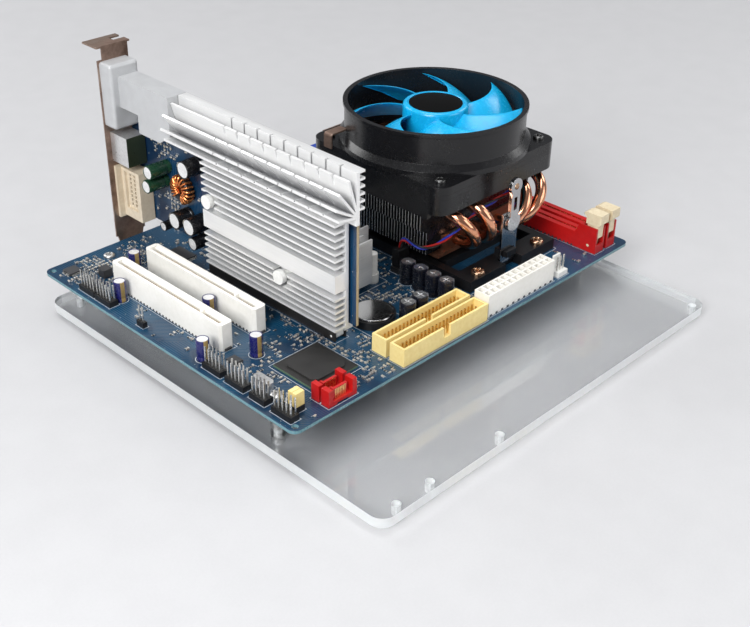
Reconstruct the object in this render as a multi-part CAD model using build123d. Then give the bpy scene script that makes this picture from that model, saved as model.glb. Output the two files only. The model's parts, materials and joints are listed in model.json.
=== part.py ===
from build123d import *
import math
import os

# Open air test bench: a clear base plate with a small mainboard, a down-draft cooler and a graphics card.
# Every piece is drawn from the board's near left corner: X along the front edge, Y to the rear edge, Z up from
# the board's top face. save() then moves it to the part's frame, with its origin on the table.

# Board and base plate
board_w, board_d, board_t = 243.84, 190.5, 1.6
board_corner_r = 4.0
corner_hole_d, corner_hole_inset = 3.2, 3.5
plate_w, plate_d, plate_t = 243.84, 240.5, 5.0
plate_front, plate_corner_r = -51.5, 7.0
row_x = (12.70, 33.02, 78.74, 236.22)
column_y = (-46.99, 25.40, 180.34)
mount_hole_d = 4.0
standoff_h, standoff_d = 15.0, 6.0
thread_d, thread_fit, thread_depth = 3.0, 0.05, 5.0
foot_head_d, foot_head_h = 7.0, 2.0
board_head_d, board_head_h = 6.0, 1.6

# Expansion and graphics slots
slot_w, slot_len, slot_h, slot_bevel = 7.7, 84.9, 14.0, 1.2
slot_x, slot_y, slot_pitch = 16.95, 68.5, 20.32
groove_w, groove_floor, lead_in, slot_end = 1.9, 3.2, 1.2, 2.6
slot_key_y, key_w = 17.3, 1.6
card_x, card_slot_w, card_slot_h = 64.0, 7.4, 11.2
card_slot_front, card_slot_len, card_key_inset = 43.5, 89.0, 11.7
ear_t, ear_len, ear_h = 0.8, 5.0, 5.0
latch_gap, latch_pin_d, pin_fit = 0.3, 1.2, 0.05
latch_pin_y, latch_pin_z = 2.4, 2.3
latch_r, latch_top, latch_tab, latch_tab_t = 1.8, 10.9, 6.0, 2.6

# Memory slots
memory_x, memory_w, memory_pitch = 218.3, 7.6, 10.0
memory_front, memory_len = 4.5, 141.0
rail_h, tower_h, tower_len, tower_slope = 8.8, 14.5, 11.0, 3.0
cheek_t, tower_floor, tower_wall, sill_h, sill_t = 1.0, 0.8, 2.0, 4.8, 1.2
memory_groove, memory_floor, memory_key, memory_key_t = 1.7, 3.0, 55.0, 1.4
lever_pin_d, lever_pin_y, lever_pin_z = 1.6, 5.0, 3.6
lever_gap, lever_r, lever_h, lever_head_w = 0.3, 2.2, 22.5, 7.0
lever_out, lever_neck_z, lever_front_z, lever_head_z = 4.6, 6.8, 8.5, 15.9
head_out, head_in, hook_in, hook_t, head_slope = 6.6, 2.6, 4.4, 1.6, 1.6

# Power and drive sockets
power_x, power_y, power_h = 128.3, 2.7, 12.1
cell_pitch, cell_w, cell_floor, socket_wall = 4.3, 3.2, 2.6, 0.3
power_columns, power_rows, small_power_count = 12, 2, 2
small_power = (146.0, 150.0)
catch_w, catch_out, catch_low, catch_mid, catch_top = 6.0, 1.6, 5.0, 3.0, 2.4
drive_x, drive_y, drive_len, drive_w, drive_h = 68.0, 1.6, 58.4, 9.1, 9.4
drive_pitch, drive_wall, drive_floor, drive_notch = 11.3, 1.2, 2.8, 4.6
drive_sill, drive_columns = 1.0, 20
pin_pitch, pin_w, pin_h = 2.54, 0.64, 11.0
serial_x, serial_y, serial_len, serial_w, serial_h = 22.3, 2.6, 16.8, 4.8, 8.4
serial_pitch, serial_post, serial_foot, blade_w, blade_h = 6.3, 2.6, 2.2, 1.3, 7.2
blade_inset, blade_key, blade_edge, arch_inset, arch_h = 4.2, 1.2, 0.6, 5.0, 0.7

# Fan headers, edge headers and crystal
header_h, header_base_h, header_wall = 10.5, 2.8, 1.0
fan_header_w, fan_header_d, fan_pin_y = 7.6, 5.6, 2.3
fan_header_1, fan_header_2 = (184.0, 2.4), (127.8, 62.0)
plug_h, plug_lift, plug_bevel = 10.0, 1.0, 0.6
header_spots = [(3.0, 150.0), (3.0, 136.5), (3.6, 110.2), (3.4, 52.8), (3.4, 37.0), (3.4, 23.0), (3.4, 6.0),
                (9.8, 9.7)]
header_rows = (2, 2, 1, 2, 2, 2, 2, 2)
header_columns = (5, 5, 2, 5, 5, 4, 5, 2)
jumper_h, jumper_gap = 7.0, 0.3
crystal_x, crystal_y, crystal_w, crystal_d, crystal_h, crystal_r = 14.0, 35.6, 4.6, 11.0, 3.6, 2.2

# Chips, cans and coin cell
south_x, south_y, south_w, south_cap, south_t = 40.0, 30.0, 27.0, 21.0, 1.1
south_cap_h, south_bevel = 1.2, 2.6
north_x, north_y, north_w, north_h = 97.0, 83.5, 25.0, 2.5
small_chips = [(10.0, 179.5, 7.0, 7.0, 1.4), (16.5, 58.5, 5.0, 6.0, 1.5), (58.0, 155.0, 14.0, 14.0, 1.4),
               (20.0, 164.6, 5.0, 5.0, 4.5), (140.0, 138.0, 10.0, 10.0, 1.4)]
north_sink_w, north_sink_t, north_fin_h, north_fin_t, north_fin_count = 42.0, 2.6, 22.0, 1.0, 8
sink_notch, sink_pin_d, sink_pin_h, sink_collar_d, sink_collar_h = 9.0, 5.6, 16.0, 7.0, 5.0
small_can, large_can = (6.3, 11.0), (8.0, 12.0)
can_foot, can_neck = 0.8, 1.0
small_spots = [(11.6, 139.3), (34.0, 158.5), (33.0, 97.0), (8.0, 70.2), (27.6, 56.2)]
large_spots = [(126.0, 54.0), (126.0, 45.4), (126.0, 36.8), (126.0, 28.2), (106.4, 27.4), (97.4, 27.2)]
cell_x, cell_y, cell_d, cell_t, cell_gap, cell_bevel = 88.0, 41.0, 20.0, 3.2, 0.2, 0.4
holder_floor, holder_h, holder_wall = 1.6, 4.0, 1.0

# Processor, retention frame and cooler
cpu_x, cpu_y = 174.0, 76.0
socket_w, socket_d, socket_h = 50.0, 55.0, 4.8
cpu_w, cpu_h, lid_edge, lid_step = 40.0, 3.5, 2.0, 1.2
arm_d, arm_z, arm_len, arm_out = 1.8, 3.0, 52.0, 1.4
frame_w, frame_d, frame_h = 68.0, 104.0, 6.0
frame_wall_x, frame_wall_y = 5.0, 12.0
screw_edge_x, screw_edge_y = 10.0, 4.0
frame_head_d, frame_head_h = 7.0, 2.2
lug_w, lug_t, lug_nose, lug_nose_h, lug_h, window_gap = 8.0, 4.0, 4.0, 3.2, 11.0, 0.5
base_w, base_d, base_h, base_rear = 54.0, 58.0, 11.7, 3.0
foot_w, foot_out, foot_h = 61.4, 0.9, 2.2
pipe_d, pipe_fit, pipe_end = 6.0, 0.1, 2.0
pipe_low, pipe_high, pipe_nose_y = 14.6, 37.0, 32.5
pipe_low_x, pipe_high_x = (-16.0, -6.0, 6.0, 16.0), (-31.0, -15.0, 25.0, 38.5)
fin_t, fin_pitch, fin_count = 0.5, 2.0, 30
fin_front, fin_wide, fin_narrow = 51.0, 86.0, 76.0
fin_low, fin_step, fin_slope, fin_top, fin_clear = 12.4, 28.0, 3.0, 40.0, 1.0
clip_w, strap_w, clip_t, clip_inset, clip_rise = 12.0, 8.0, 1.2, 4.2, 0.2
clip_low, clip_over, clip_pivot_z, clip_pin_d = 4.0, 5.0, 27.0, 4.0
clip_arm, lever_t, lever_disc_d, lever_eye_d, lever_w = 20.0, 2.0, 10.0, 8.6, 6.4
lever_slot_w, lever_slot_low, lever_slot_high = 2.4, 7.0, 6.0

# Fan and shroud
fan_y, fan_seat = 82.0, 52.0
fan_w, fan_lug_t, fan_h, fan_corner_r = 92.0, 4.0, 25.0, 8.0
fan_ring_r, fan_ring_t, fan_bolt = 47.0, 1.7, 77.0
flare_out, flare_foot, flare_h = 3.0, 2.5, 2.8
rim_out, rim_h, rim_slope = 0.8, 1.6, 0.4
shroud_t, shroud_bottom, shroud_gap, shroud_lip = 2.5, 38.0, 0.3, 1.5
fan_head_d, fan_head_h = 5.6, 2.0
hub_r, hub_h, hub_wall, hub_top_t, hub_bevel = 17.0, 20.5, 1.6, 2.2, 1.5
motor_r, motor_t, motor_gap, arm_w, tube_r, tube_gap = 18.0, 2.0, 1.0, 4.0, 4.0, 1.8
arm_angles_deg = (30, 120, 210, 300)
shaft_d, shaft_fit, shaft_floor, shaft_end = 3.0, 0.05, 0.8, 0.4
stator_low, stator_gap = 3.0, 1.5
blade_count, blade_t, blade_drop, blade_root, tip_gap = 7, 1.2, 9.6, 0.6, 1.0
chord_root, chord_grow, blade_clear = 17.0, 14.0, 1.0
pitch_root_deg, pitch_fall_deg, sweep_deg, sweep_power = 40, 12, 34, 1.3
blade_shares = (0.0, 0.35, 0.7, 1.0)
tab_in, tab_leg_w, tab_w, tab_out, tab_t, tab_drop = 15.0, 4.0, 14.0, 6.0, 1.0, 8.0

# Graphics card
card_t, card_front, card_rear = 1.57, 27.6, 193.5
card_shoulder, card_top, tongue_low, tongue_gap = 12.4, 68.4, 3.7, 0.4
gpu_y, gpu_z, gpu_w = 82.0, 38.0, 30.0
bracket_y, bracket_t, bracket_w, bracket_x = 195.5, 0.9, 18.4, 48.4
bracket_low, bracket_top, bracket_tab = -14.0, 105.0, 11.4
bracket_foot = (1.0, 4.0, 14.0, 17.4)
bracket_fold, bracket_notch, tab_over, tab_notch, tab_notch_y, tab_notch_w = 3.0, 7.0, 1.4, 5.0, 5.5, 4.4
sink_front, sink_low_front, sink_low_rear, sink_rear = 24.3, 31.0, 124.0, 146.0
sink_low, sink_top, sink_gap = 11.5, 91.5, 1.5
sink_plate_t, sink_depth, sink_web_t, sink_web_low = 2.0, 8.4, 2.0, 4.0
sink_fin_t, sink_fin_pitch = 1.1, 3.5
low_fin_count, mid_fin_count, top_fin_count = 6, 8, 6
band_low, band_high, fan_core_z = 31.8, 41.0, 70.0
spray = ((16, 19.5), (38, 18.0), (60, 15.0), (82, 11.5))
spray_t, spray_in = 1.2, 1.0
cut_w, cut_pitch, cut_first, cut_count = 1.1, 9.0, 34.2, 9
cut_in, cut_low, cut_web_low = 3.5, 1.5, 14.0
pin_spots = ((119.5, 46.5), (68.0, 26.0))
pin_pocket_d, card_pin_d, card_pin_head_d, card_pin_out, card_pin_head_t = 10.0, 4.6, 7.0, 1.5, 2.5
port_fit, port_x, nose_edge, nose_end, nose_wall, nose_len = 0.3, (51.2, 62.6), 1.0, 3.0, 1.0, 4.5
digital_z, video_z, display_z = (11.5, 41.0), (44.0, 60.0), (66.0, 95.0)
video_len, display_len, flange_t = 14.0, 5.0, 1.8
digital_x, digital_len, digital_end = 54.4, 17.0, 0.8
recess_t, recess_front, recess_rear, recess_low, recess_high = 1.4, 3.0, 2.4, 6.0, 2.6
pocket_w, pocket_t, pocket_inset, pocket_pitch, pocket_count = 1.6, 2.0, 3.2, 2.4, 8
cover_t, cover_gap, cover_step_y, cover_side, cover_out = 1.4, 0.3, 186.5, 0.6, 6.5
cover_neck_y, cover_neck_z, cover_tab_z, cover_cut_y, cover_cut_z = 172.0, 75.3, 65.7, 155.0, 71.7
hood_low, hood_high, hood_r = 63.5, 97.5, 1.8
green_cans = [(164.2, 47.4, 7.4, 13.0), (166.5, 38.9, 7.2, 13.0)]
dark_cans = [(138.5, 56.5, 9.2, 10.0), (148.5, 25.2, 9.2, 10.2), (136.6, 26.0, 9.4, 10.4),
             (134.7, 17.2, 7.0, 10.0), (160.0, 17.4, 5.0, 9.0)]
choke_y, choke_z, choke_out_r, choke_in_r, choke_w = 149.0, 40.5, 6.8, 3.0, 3.8
choke_bevel, choke_wire_d, choke_lift, choke_leg_d = 0.7, 1.1, 0.2, 1.0

# Rear ports
rear_out, port_depth = 2.0, 10.0
audio_x, audio_depth, audio_h, jack_count = (88.0, 125.0), 15.0, 12.4, 3
jack_x, jack_pitch, jack_z, jack_d, jack_bore, jack_len, jack_depth = 94.2, 12.3, 6.2, 8.0, 3.6, 3.0, 8.0
network_x, network_depth, network_h, network_wall = (128.0, 144.5), 21.0, 27.5, 2.0
network_hole, network_hole_depth = (15.0, 25.5), 12.0
network_usb_z, network_usb_h = (2.0, 8.4), 4.8
usb_x, usb_depth, usb_h, usb_wall, usb_z, usb_hole = (147.5, 162.0), 17.5, 15.6, 1.3, (1.6, 8.6), 5.0
screen_x, screen_depth, screen_h = (165.0, 196.0), 14.0, 12.5
screen_nose_x, screen_nose_z, screen_nose_len, screen_wall = (172.0, 189.0), (2.6, 10.4), 5.0, 1.0
keyboard_x, keyboard_depth, keyboard_h = (217.5, 231.5), 18.0, 27.0
keyboard_z, keyboard_bore, keyboard_hole = (7.0, 20.0), 9.6, 9.0

# Levels and places that follow from the sizes above
plate_top = -board_t - standoff_h
plate_low = plate_top - plate_t
table = plate_low - foot_head_h
plate_rear = plate_front + plate_d
origin = Vector(board_w / 2, (plate_front + bracket_y + bracket_t + bracket_tab) / 2, table)
stand_spots = [(row_x[1], column_y[2]), (row_x[2], column_y[2]), (row_x[3], column_y[2]),
               (row_x[0], column_y[1]), (row_x[2], column_y[1])]
support_spots = stand_spots + [(row_x[3], column_y[1])]
card_key_y = card_slot_front + card_slot_len - slot_end - card_key_inset
plug_low = header_base_h + plug_lift
base_low = socket_h + cpu_h
base_top = base_low + base_h
base_y0 = cpu_y - base_d / 2 + base_rear
clip_dy = frame_d / 2 - clip_t - clip_inset
strap_z = base_top + clip_rise
ring_low = fan_seat + fan_lug_t
fan_top = fan_seat + fan_h
fan_inner_r = fan_ring_r - fan_ring_t
tip_r = fan_inner_r - tip_gap
hub_low = fan_seat + motor_t + motor_gap
hub_roof = hub_low + hub_h - hub_top_t
fan_x0, fan_x1 = cpu_x - fan_w / 2, cpu_x + fan_w / 2
fan_y0, fan_y1 = fan_y - fan_w / 2, fan_y + fan_w / 2
card_face = card_x - card_t / 2
card_back = card_face + card_t
sink_back = card_face - sink_gap
sink_face = sink_back - sink_plate_t
sink_tip = sink_face - sink_depth + sink_plate_t
cover_front_y = sink_rear + cover_gap
rear_face = board_d + rear_out

os.makedirs("parts", exist_ok=True)


def save(name, *solids):
    """Writes the separate solids of one node in the part's frame."""
    moved = [one.moved(Location(-origin)) for solid in solids for one in solid.solids()]
    export_step(moved[0] if len(moved) == 1 else Compound(children=moved), f"parts/{name}.step")


def block(x0, x1, y0, y1, z0, z1):
    """A box between two corners."""
    return Pos((x0 + x1) / 2, (y0 + y1) / 2, (z0 + z1) / 2) * Box(x1 - x0, y1 - y0, z1 - z0)


def post(x, y, z0, z1, d):
    """An upright cylinder."""
    return Pos(x, y, (z0 + z1) / 2) * Cylinder(d / 2, z1 - z0)


def pin_x(x0, x1, y, z, d):
    """A cylinder along X."""
    return Pos((x0 + x1) / 2, y, z) * Rot(0, 90, 0) * Cylinder(d / 2, x1 - x0)


def pin_y(x, y0, y1, z, d):
    """A cylinder along Y."""
    return Pos(x, (y0 + y1) / 2, z) * Rot(90, 0, 0) * Cylinder(d / 2, y1 - y0)


def along_y(points, y0, y1):
    """An outline of (x, z) points carried along Y."""
    face = Plane(origin=(0, y0, 0), x_dir=(1, 0, 0), z_dir=(0, -1, 0)) * make_face(Polyline(*points, close=True))
    return extrude(face, amount=y1 - y0, dir=(0, 1, 0))


def along_x(points, x0, x1):
    """An outline of (y, z) points carried along X."""
    face = Plane(origin=(x0, 0, 0), x_dir=(0, 1, 0), z_dir=(1, 0, 0)) * make_face(Polyline(*points, close=True))
    return extrude(face, amount=x1 - x0, dir=(1, 0, 0))


def round_plate(x0, x1, y0, y1, z0, z1, r):
    """A plate with rounded upright corners."""
    plate = block(x0, x1, y0, y1, z0, z1)
    return fillet(plate.edges().filter_by(Axis.Z), r)


# Base plate, standoffs and screws
def base_plate():
    plate = round_plate(0, plate_w, plate_front, plate_rear, plate_low, plate_top, plate_corner_r)
    for x in row_x:
        for y in column_y:
            plate -= post(x, y, plate_low, plate_top, mount_hole_d)
    return plate


def standoff(x, y):
    bore = thread_d + 2 * thread_fit
    return post(x, y, plate_top, -board_t, standoff_d) - post(x, y, plate_top, -board_t, bore)


def plate_screw(x, y):
    return post(x, y, table, plate_low, foot_head_d) + post(x, y, plate_low, plate_top + thread_depth, thread_d)


def board_screw(x, y):
    return post(x, y, 0, board_head_h, board_head_d) + post(x, y, -board_t - thread_depth, 0, thread_d)


def main_board():
    board = round_plate(0, board_w, 0, board_d, -board_t, 0, board_corner_r)
    for x, y in stand_spots:
        board -= post(x, y, -board_t, 0, mount_hole_d)
    for y in (corner_hole_inset, board_d - corner_hole_inset):
        board -= post(corner_hole_inset, y, -board_t, 0, corner_hole_d)
    return board


save("base_plate", base_plate())
save("standoffs", *[standoff(x, y) for x, y in support_spots])
save("plate_screws", *[plate_screw(x, y) for x, y in support_spots])
save("board_screws", *[board_screw(x, y) for x, y in stand_spots])
save("main_board", main_board())


# Card slots: a bar with a groove, a flared mouth and a key rib
def card_socket(x0, w, y0, length, h, key_y):
    mid, half = x0 + w / 2, groove_w / 2
    y1, y2 = y0 + slot_end, y0 + length - slot_end
    bar = chamfer(block(x0, x0 + w, y0, y0 + length, 0, h).edges().filter_by(Axis.Z), slot_bevel)
    bar -= block(mid - half, mid + half, y1, y2, groove_floor, h)
    mouth = half + lead_in
    bar -= along_y([(mid - mouth, h), (mid + mouth, h), (mid, h - mouth)], y1, y2)
    return bar + block(mid - half, mid + half, key_y - key_w / 2, key_y + key_w / 2, groove_floor, h)


def graphics_slot():
    x0, x1 = card_x - card_slot_w / 2, card_x + card_slot_w / 2
    slot = card_socket(x0, card_slot_w, card_slot_front, card_slot_len, card_slot_h, card_key_y)
    for a in (x0, x1 - ear_t):
        slot += block(a, a + ear_t, card_slot_front - ear_len, card_slot_front + slot_bevel, 0, ear_h)
    bore = latch_pin_d + 2 * pin_fit
    return slot - pin_x(x0, x1, card_slot_front - latch_pin_y, latch_pin_z, bore)


def slot_latch():
    x0 = card_x - card_slot_w / 2 + ear_t + latch_gap
    x1 = card_x + card_slot_w / 2 - ear_t - latch_gap
    y, z = card_slot_front - latch_pin_y, latch_pin_z
    tab_z = latch_top - latch_tab_t
    arm = [(y + latch_r, z), (y + latch_r, latch_top), (y - latch_r - latch_tab, latch_top),
           (y - latch_r - latch_tab, tab_z), (y - latch_r, tab_z), (y - latch_r, z)]
    body = along_x(arm, x0, x1) + pin_x(x0, x1, y, z, 2 * latch_r)
    return body + pin_x(x0 - latch_gap - ear_t, x1 + latch_gap + ear_t, y, z, latch_pin_d)


slot_starts = [slot_x + number * slot_pitch for number in range(2)]
save("expansion_slots", *[card_socket(x, slot_w, slot_y, slot_len, slot_h, slot_y + slot_key_y)
                          for x in slot_starts])
save("graphics_slot", graphics_slot())
save("slot_latch", slot_latch())


# Memory slots: a grooved rail between two forked towers, and a tilting latch in each fork
def memory_slot(x0):
    x1, mid = x0 + memory_w, x0 + memory_w / 2
    y0, y1 = memory_front, memory_front + memory_len
    slope = tower_len + tower_slope
    side = [(y0, 0), (y1, 0), (y1, tower_h), (y1 - tower_len, tower_h), (y1 - slope, rail_h),
            (y0 + slope, rail_h), (y0 + tower_len, tower_h), (y0, tower_h)]
    slot = along_x(side, x0, x1)
    half, fork = memory_groove / 2, tower_len - tower_wall
    slot -= block(mid - half, mid + half, y0 + fork, y1 - fork, memory_floor, tower_h)
    key_y = y0 + memory_key
    slot += block(mid - half, mid + half, key_y - memory_key_t / 2, key_y + memory_key_t / 2, memory_floor, rail_h)
    for a, b, front, rear in ((y0, y0 + fork, sill_t, 0), (y1 - fork, y1, 0, sill_t)):
        slot -= block(x0 + cheek_t, x1 - cheek_t, a, b, sill_h, tower_h)
        slot -= block(x0 + cheek_t, x1 - cheek_t, a + front, b - rear, tower_floor, sill_h)
    bore = lever_pin_d + 2 * pin_fit
    for y in (y0 + lever_pin_y, y1 - lever_pin_y):
        slot -= pin_x(x0, x1, y, lever_pin_z, bore)
    return slot


def memory_latch(x0, end):
    mid = x0 + memory_w / 2
    half = memory_w / 2 - cheek_t - lever_gap
    out = -1 if end == 0 else 1
    y = memory_front + lever_pin_y if end == 0 else memory_front + memory_len - lever_pin_y
    z, r, top, head = lever_pin_z, lever_r, lever_h, lever_head_z
    stem = [(-r, z), (r, z), (r, lever_neck_z), (lever_out, lever_front_z), (lever_out, head), (-r, head)]
    grip = [(-head_in, head), (head_out - head_slope, head), (head_out, head + head_slope), (head_out, top),
            (-head_in, top), (-hook_in, top - hook_t / 2), (-hook_in, top - hook_t), (-head_in, top - 2 * hook_t)]
    body = along_x([(y + out * a, b) for a, b in stem], mid - half, mid + half)
    body += along_x([(y + out * a, b) for a, b in grip], mid - lever_head_w / 2, mid + lever_head_w / 2)
    body += pin_x(mid - half, mid + half, y, z, 2 * r)
    return body + pin_x(x0, x0 + memory_w, y, z, lever_pin_d)


memory_starts = [memory_x + number * memory_pitch for number in range(2)]
save("memory_slots", *[memory_slot(x) for x in memory_starts])
for number, x in enumerate(memory_starts, 1):
    for end, place in enumerate(("front", "rear")):
        save(f"memory_latch_{number}_{place}", memory_latch(x, end))


# Power sockets: a block with square wells and a catch on its rear face
def well_socket(x0, y0, columns, rows, h):
    w, d = columns * cell_pitch, rows * cell_pitch + 2 * socket_wall
    body = block(x0, x0 + w, y0, y0 + d, 0, h)
    half = cell_w / 2
    for i in range(columns):
        for j in range(rows):
            x, y = x0 + (i + 0.5) * cell_pitch, y0 + socket_wall + (j + 0.5) * cell_pitch
            body -= block(x - half, x + half, y - half, y + half, cell_floor, h)
    mid, rear = x0 + w / 2, y0 + d
    catch = [(rear, h - catch_low), (rear + catch_out, h - catch_mid), (rear + catch_out, h - catch_top),
             (rear, h - catch_top)]
    return body + along_x(catch, mid - catch_w / 2, mid + catch_w / 2)


save("power_sockets", well_socket(power_x, power_y, power_columns, power_rows, power_h),
     well_socket(*small_power, small_power_count, small_power_count, power_h))


# Three-pin fan headers and the cooler fan's plug
def fan_header(x0, y0):
    x1, y1 = x0 + fan_header_w, y0 + fan_header_d
    wall = block(x0 + header_wall, x1 - header_wall, y1 - header_wall, y1, header_base_h, header_h)
    return block(x0, x1, y0, y1, 0, header_base_h) + wall


def fan_plug():
    x0, y0 = fan_header_2
    body = block(x0, x0 + fan_header_w, y0, y0 + fan_header_d - header_wall, plug_low, plug_low + plug_h)
    return chamfer(body.edges().filter_by(Axis.X).group_by(Axis.Z)[-1], plug_bevel)


save("fan_headers", fan_header(*fan_header_1), fan_header(*fan_header_2))
save("fan_plug", fan_plug())


# Drive headers: an open tray with a key notch in its near wall, and two rows of pins
def drive_header(y0):
    x1, y1 = drive_x + drive_len, y0 + drive_w
    tray = block(drive_x, x1, y0, y1, 0, drive_h)
    tray -= block(drive_x + drive_wall, x1 - drive_wall, y0 + drive_wall, y1 - drive_wall, drive_floor, drive_h)
    mid, half = drive_x + drive_len / 2, drive_notch / 2
    return tray - block(mid - half, mid + half, y0, y0 + drive_wall, drive_floor + drive_sill, drive_h)


def pin(x, y, z0, z1):
    return block(x - pin_w / 2, x + pin_w / 2, y - pin_w / 2, y + pin_w / 2, z0, z1)


def drive_pins(y0):
    first_x = drive_x + drive_len / 2 - (drive_columns - 1) / 2 * pin_pitch
    mid_y = y0 + drive_w / 2
    return [pin(first_x + i * pin_pitch, mid_y + s * pin_pitch / 2, drive_floor, drive_h - drive_sill)
            for i in range(drive_columns) for s in (-1, 1)]


drive_starts = [drive_y + number * drive_pitch for number in range(2)]
save("drive_headers", *[drive_header(y) for y in drive_starts])
save("drive_pins", *[p for y in drive_starts for p in drive_pins(y)])


# Serial drive ports: a foot, two guide posts and a contact blade
def serial_port(y0):
    x0, x1, y1 = serial_x, serial_x + serial_len, y0 + serial_w
    port = block(x0, x1, y0, y1, 0, serial_foot)
    for a in (x0, x1 - serial_post):
        port += block(a, a + serial_post, y0, y1, serial_foot, serial_h)
    mid, half, a = (y0 + y1) / 2, blade_w / 2, x0 + blade_inset
    port += block(a, x1 - blade_inset, mid - half, mid + half, serial_foot, blade_h)
    port += block(a, a + blade_key, mid + half, y1 - blade_edge, serial_foot, blade_h)
    return port - block(x0 + arch_inset, x1 - arch_inset, y0, y1, 0, arch_h)


save("serial_ports", *[serial_port(serial_y + number * serial_pitch) for number in range(2)])


# Chips
def chip(x, y, w, d, h, z0=0.0):
    return block(x - w / 2, x + w / 2, y - d / 2, y + d / 2, z0, z0 + h)


south_lid = chip(south_x, south_y, south_cap, south_cap, south_cap_h, south_t)
save("south_chip", chip(south_x, south_y, south_w, south_w, south_t),
     chamfer(south_lid.edges().filter_by(Axis.Z), south_bevel))
half = gpu_w / 2
card_chip = block(sink_back, card_face, gpu_y - half, gpu_y + half, gpu_z - half, gpu_z + half)
north_chip = chip(north_x, north_y, north_w, north_w, north_h)
save("chips", north_chip, card_chip, *[chip(*spot) for spot in small_chips])


# North heatsink: a plate with upright fins, cut away at two corners for its push pins
def north_heatsink():
    w, z0 = north_sink_w, north_h
    x0, y0, z1 = north_x - w / 2, north_y - w / 2, z0 + north_sink_t
    x1, y1, z2 = x0 + w, y0 + w, z1 + north_fin_h
    sink = block(x0, x1, y0, y1, z0, z1)
    for i in range(north_fin_count):
        y = y0 + i * (w - north_fin_t) / (north_fin_count - 1)
        sink += block(x0, x1, y, y + north_fin_t, z1, z2)
    sink -= block(x1 - sink_notch, x1, y0, y0 + sink_notch, z0, z2)
    return sink - block(x0, x0 + sink_notch, y1 - sink_notch, y1, z0, z2)


def board_push_pin(s):
    off = s * (north_sink_w - sink_notch) / 2
    x, y = north_x + off, north_y - off
    return post(x, y, 0, sink_pin_h, sink_pin_d) + post(x, y, 0, sink_collar_h, sink_collar_d)


save("north_heatsink", north_heatsink())


# Pin headers along the left edge, with their pins, jumper caps and crystal
def header_base(x0, y0, rows, columns):
    return block(x0, x0 + rows * pin_pitch, y0, y0 + columns * pin_pitch, 0, header_base_h)


def header_pins(x0, y0, rows, columns):
    return [pin(x0 + (i + 0.5) * pin_pitch, y0 + (j + 0.5) * pin_pitch, header_base_h, pin_h)
            for i in range(rows) for j in range(columns)]


def jumper_cap(i):
    x0, y0 = header_spots[-1]
    a, b = y0 + i * pin_pitch + jumper_gap / 2, y0 + (i + 1) * pin_pitch - jumper_gap / 2
    return block(x0, x0 + header_rows[-1] * pin_pitch, a, b, header_base_h, header_base_h + jumper_h)


headers = [(x, y, rows, columns) for (x, y), rows, columns in zip(header_spots, header_rows, header_columns)]
fan_mid_x, fan_row_y = fan_header_1[0] + fan_header_w / 2, fan_header_1[1] + fan_pin_y
fan_pins = [pin(fan_mid_x + i * pin_pitch, fan_row_y, header_base_h, pin_h) for i in (-1, 0, 1)]
save("header_bases", *[header_base(*one) for one in headers])
save("header_pins", *[p for one in headers[:-1] for p in header_pins(*one)], *fan_pins)
save("jumper_caps", *[jumper_cap(i) for i in range(header_columns[-1])])
crystal = chip(crystal_x, crystal_y, crystal_w, crystal_d, crystal_h)
save("crystal_can", fillet(crystal.edges().filter_by(Axis.Z), crystal_r))


# Electrolytic cans: a plain upright cylinder with a narrow foot
def capacitor(x, y, d, h):
    return post(x, y, can_foot, h, d) + post(x, y, 0, can_foot, d - can_neck)


save("board_capacitors", *[capacitor(x, y, *small_can) for x, y in small_spots])
save("supply_capacitors", *[capacitor(x, y, *large_can) for x, y in large_spots])

# Coin cell in its holder
holder_in = cell_d + 2 * cell_gap
holder = post(cell_x, cell_y, 0, holder_h, holder_in + 2 * holder_wall)
save("cell_holder", holder - post(cell_x, cell_y, holder_floor, holder_h, holder_in))
cell = post(cell_x, cell_y, holder_floor, holder_floor + cell_t, cell_d)
save("coin_cell", chamfer(cell.edges().group_by(Axis.Z)[-1], cell_bevel))

# Processor, its socket and the socket's locked arm
save("processor_socket", chip(cpu_x, cpu_y, socket_w, socket_d, socket_h))
lid_w = cpu_w - 2 * lid_edge
heat_lid = chip(cpu_x, cpu_y, lid_w, lid_w, cpu_h - lid_step, socket_h + lid_step)
save("processor", chip(cpu_x, cpu_y, cpu_w, cpu_w, lid_step, socket_h) + heat_lid)
arm_x = cpu_x - socket_w / 2 - arm_out
save("socket_lever", pin_y(arm_x, cpu_y - arm_len / 2, cpu_y + arm_len / 2, arm_z, arm_d))


# Retention frame: a low ring with a hooked lug at each end, held by four screws
def end_block(s, half, near, far, z0, z1):
    a, b = sorted((cpu_y + s * near, cpu_y + s * far))
    return block(cpu_x - half, cpu_x + half, a, b, z0, z1)


screw_dx, screw_dy = frame_w / 2 - screw_edge_x, frame_d / 2 - screw_edge_y
screw_spots = [(cpu_x + sx * screw_dx, cpu_y + sy * screw_dy) for sx in (-1, 1) for sy in (-1, 1)]


def retention_frame():
    ring = chip(cpu_x, cpu_y, frame_w, frame_d, frame_h)
    ring -= chip(cpu_x, cpu_y, frame_w - 2 * frame_wall_x, frame_d - 2 * frame_wall_y, frame_h)
    inner = clip_dy - window_gap
    for s in (-1, 1):
        ring -= end_block(s, clip_w / 2 + window_gap, inner, frame_d / 2, 0, frame_h)
        ring += end_block(s, lug_w / 2, inner - lug_t, inner, frame_h, lug_h)
        ring += end_block(s, lug_w / 2, inner, inner + lug_nose, lug_h - lug_nose_h, lug_h)
    for x, y in screw_spots:
        ring -= post(x, y, 0, frame_h, thread_d + 2 * thread_fit)
    return ring


save("retention_frame", retention_frame())
frame_screws = [post(x, y, frame_h, frame_h + frame_head_h, frame_head_d) + post(x, y, 0, frame_h, thread_d)
                for x, y in screw_spots]


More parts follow.
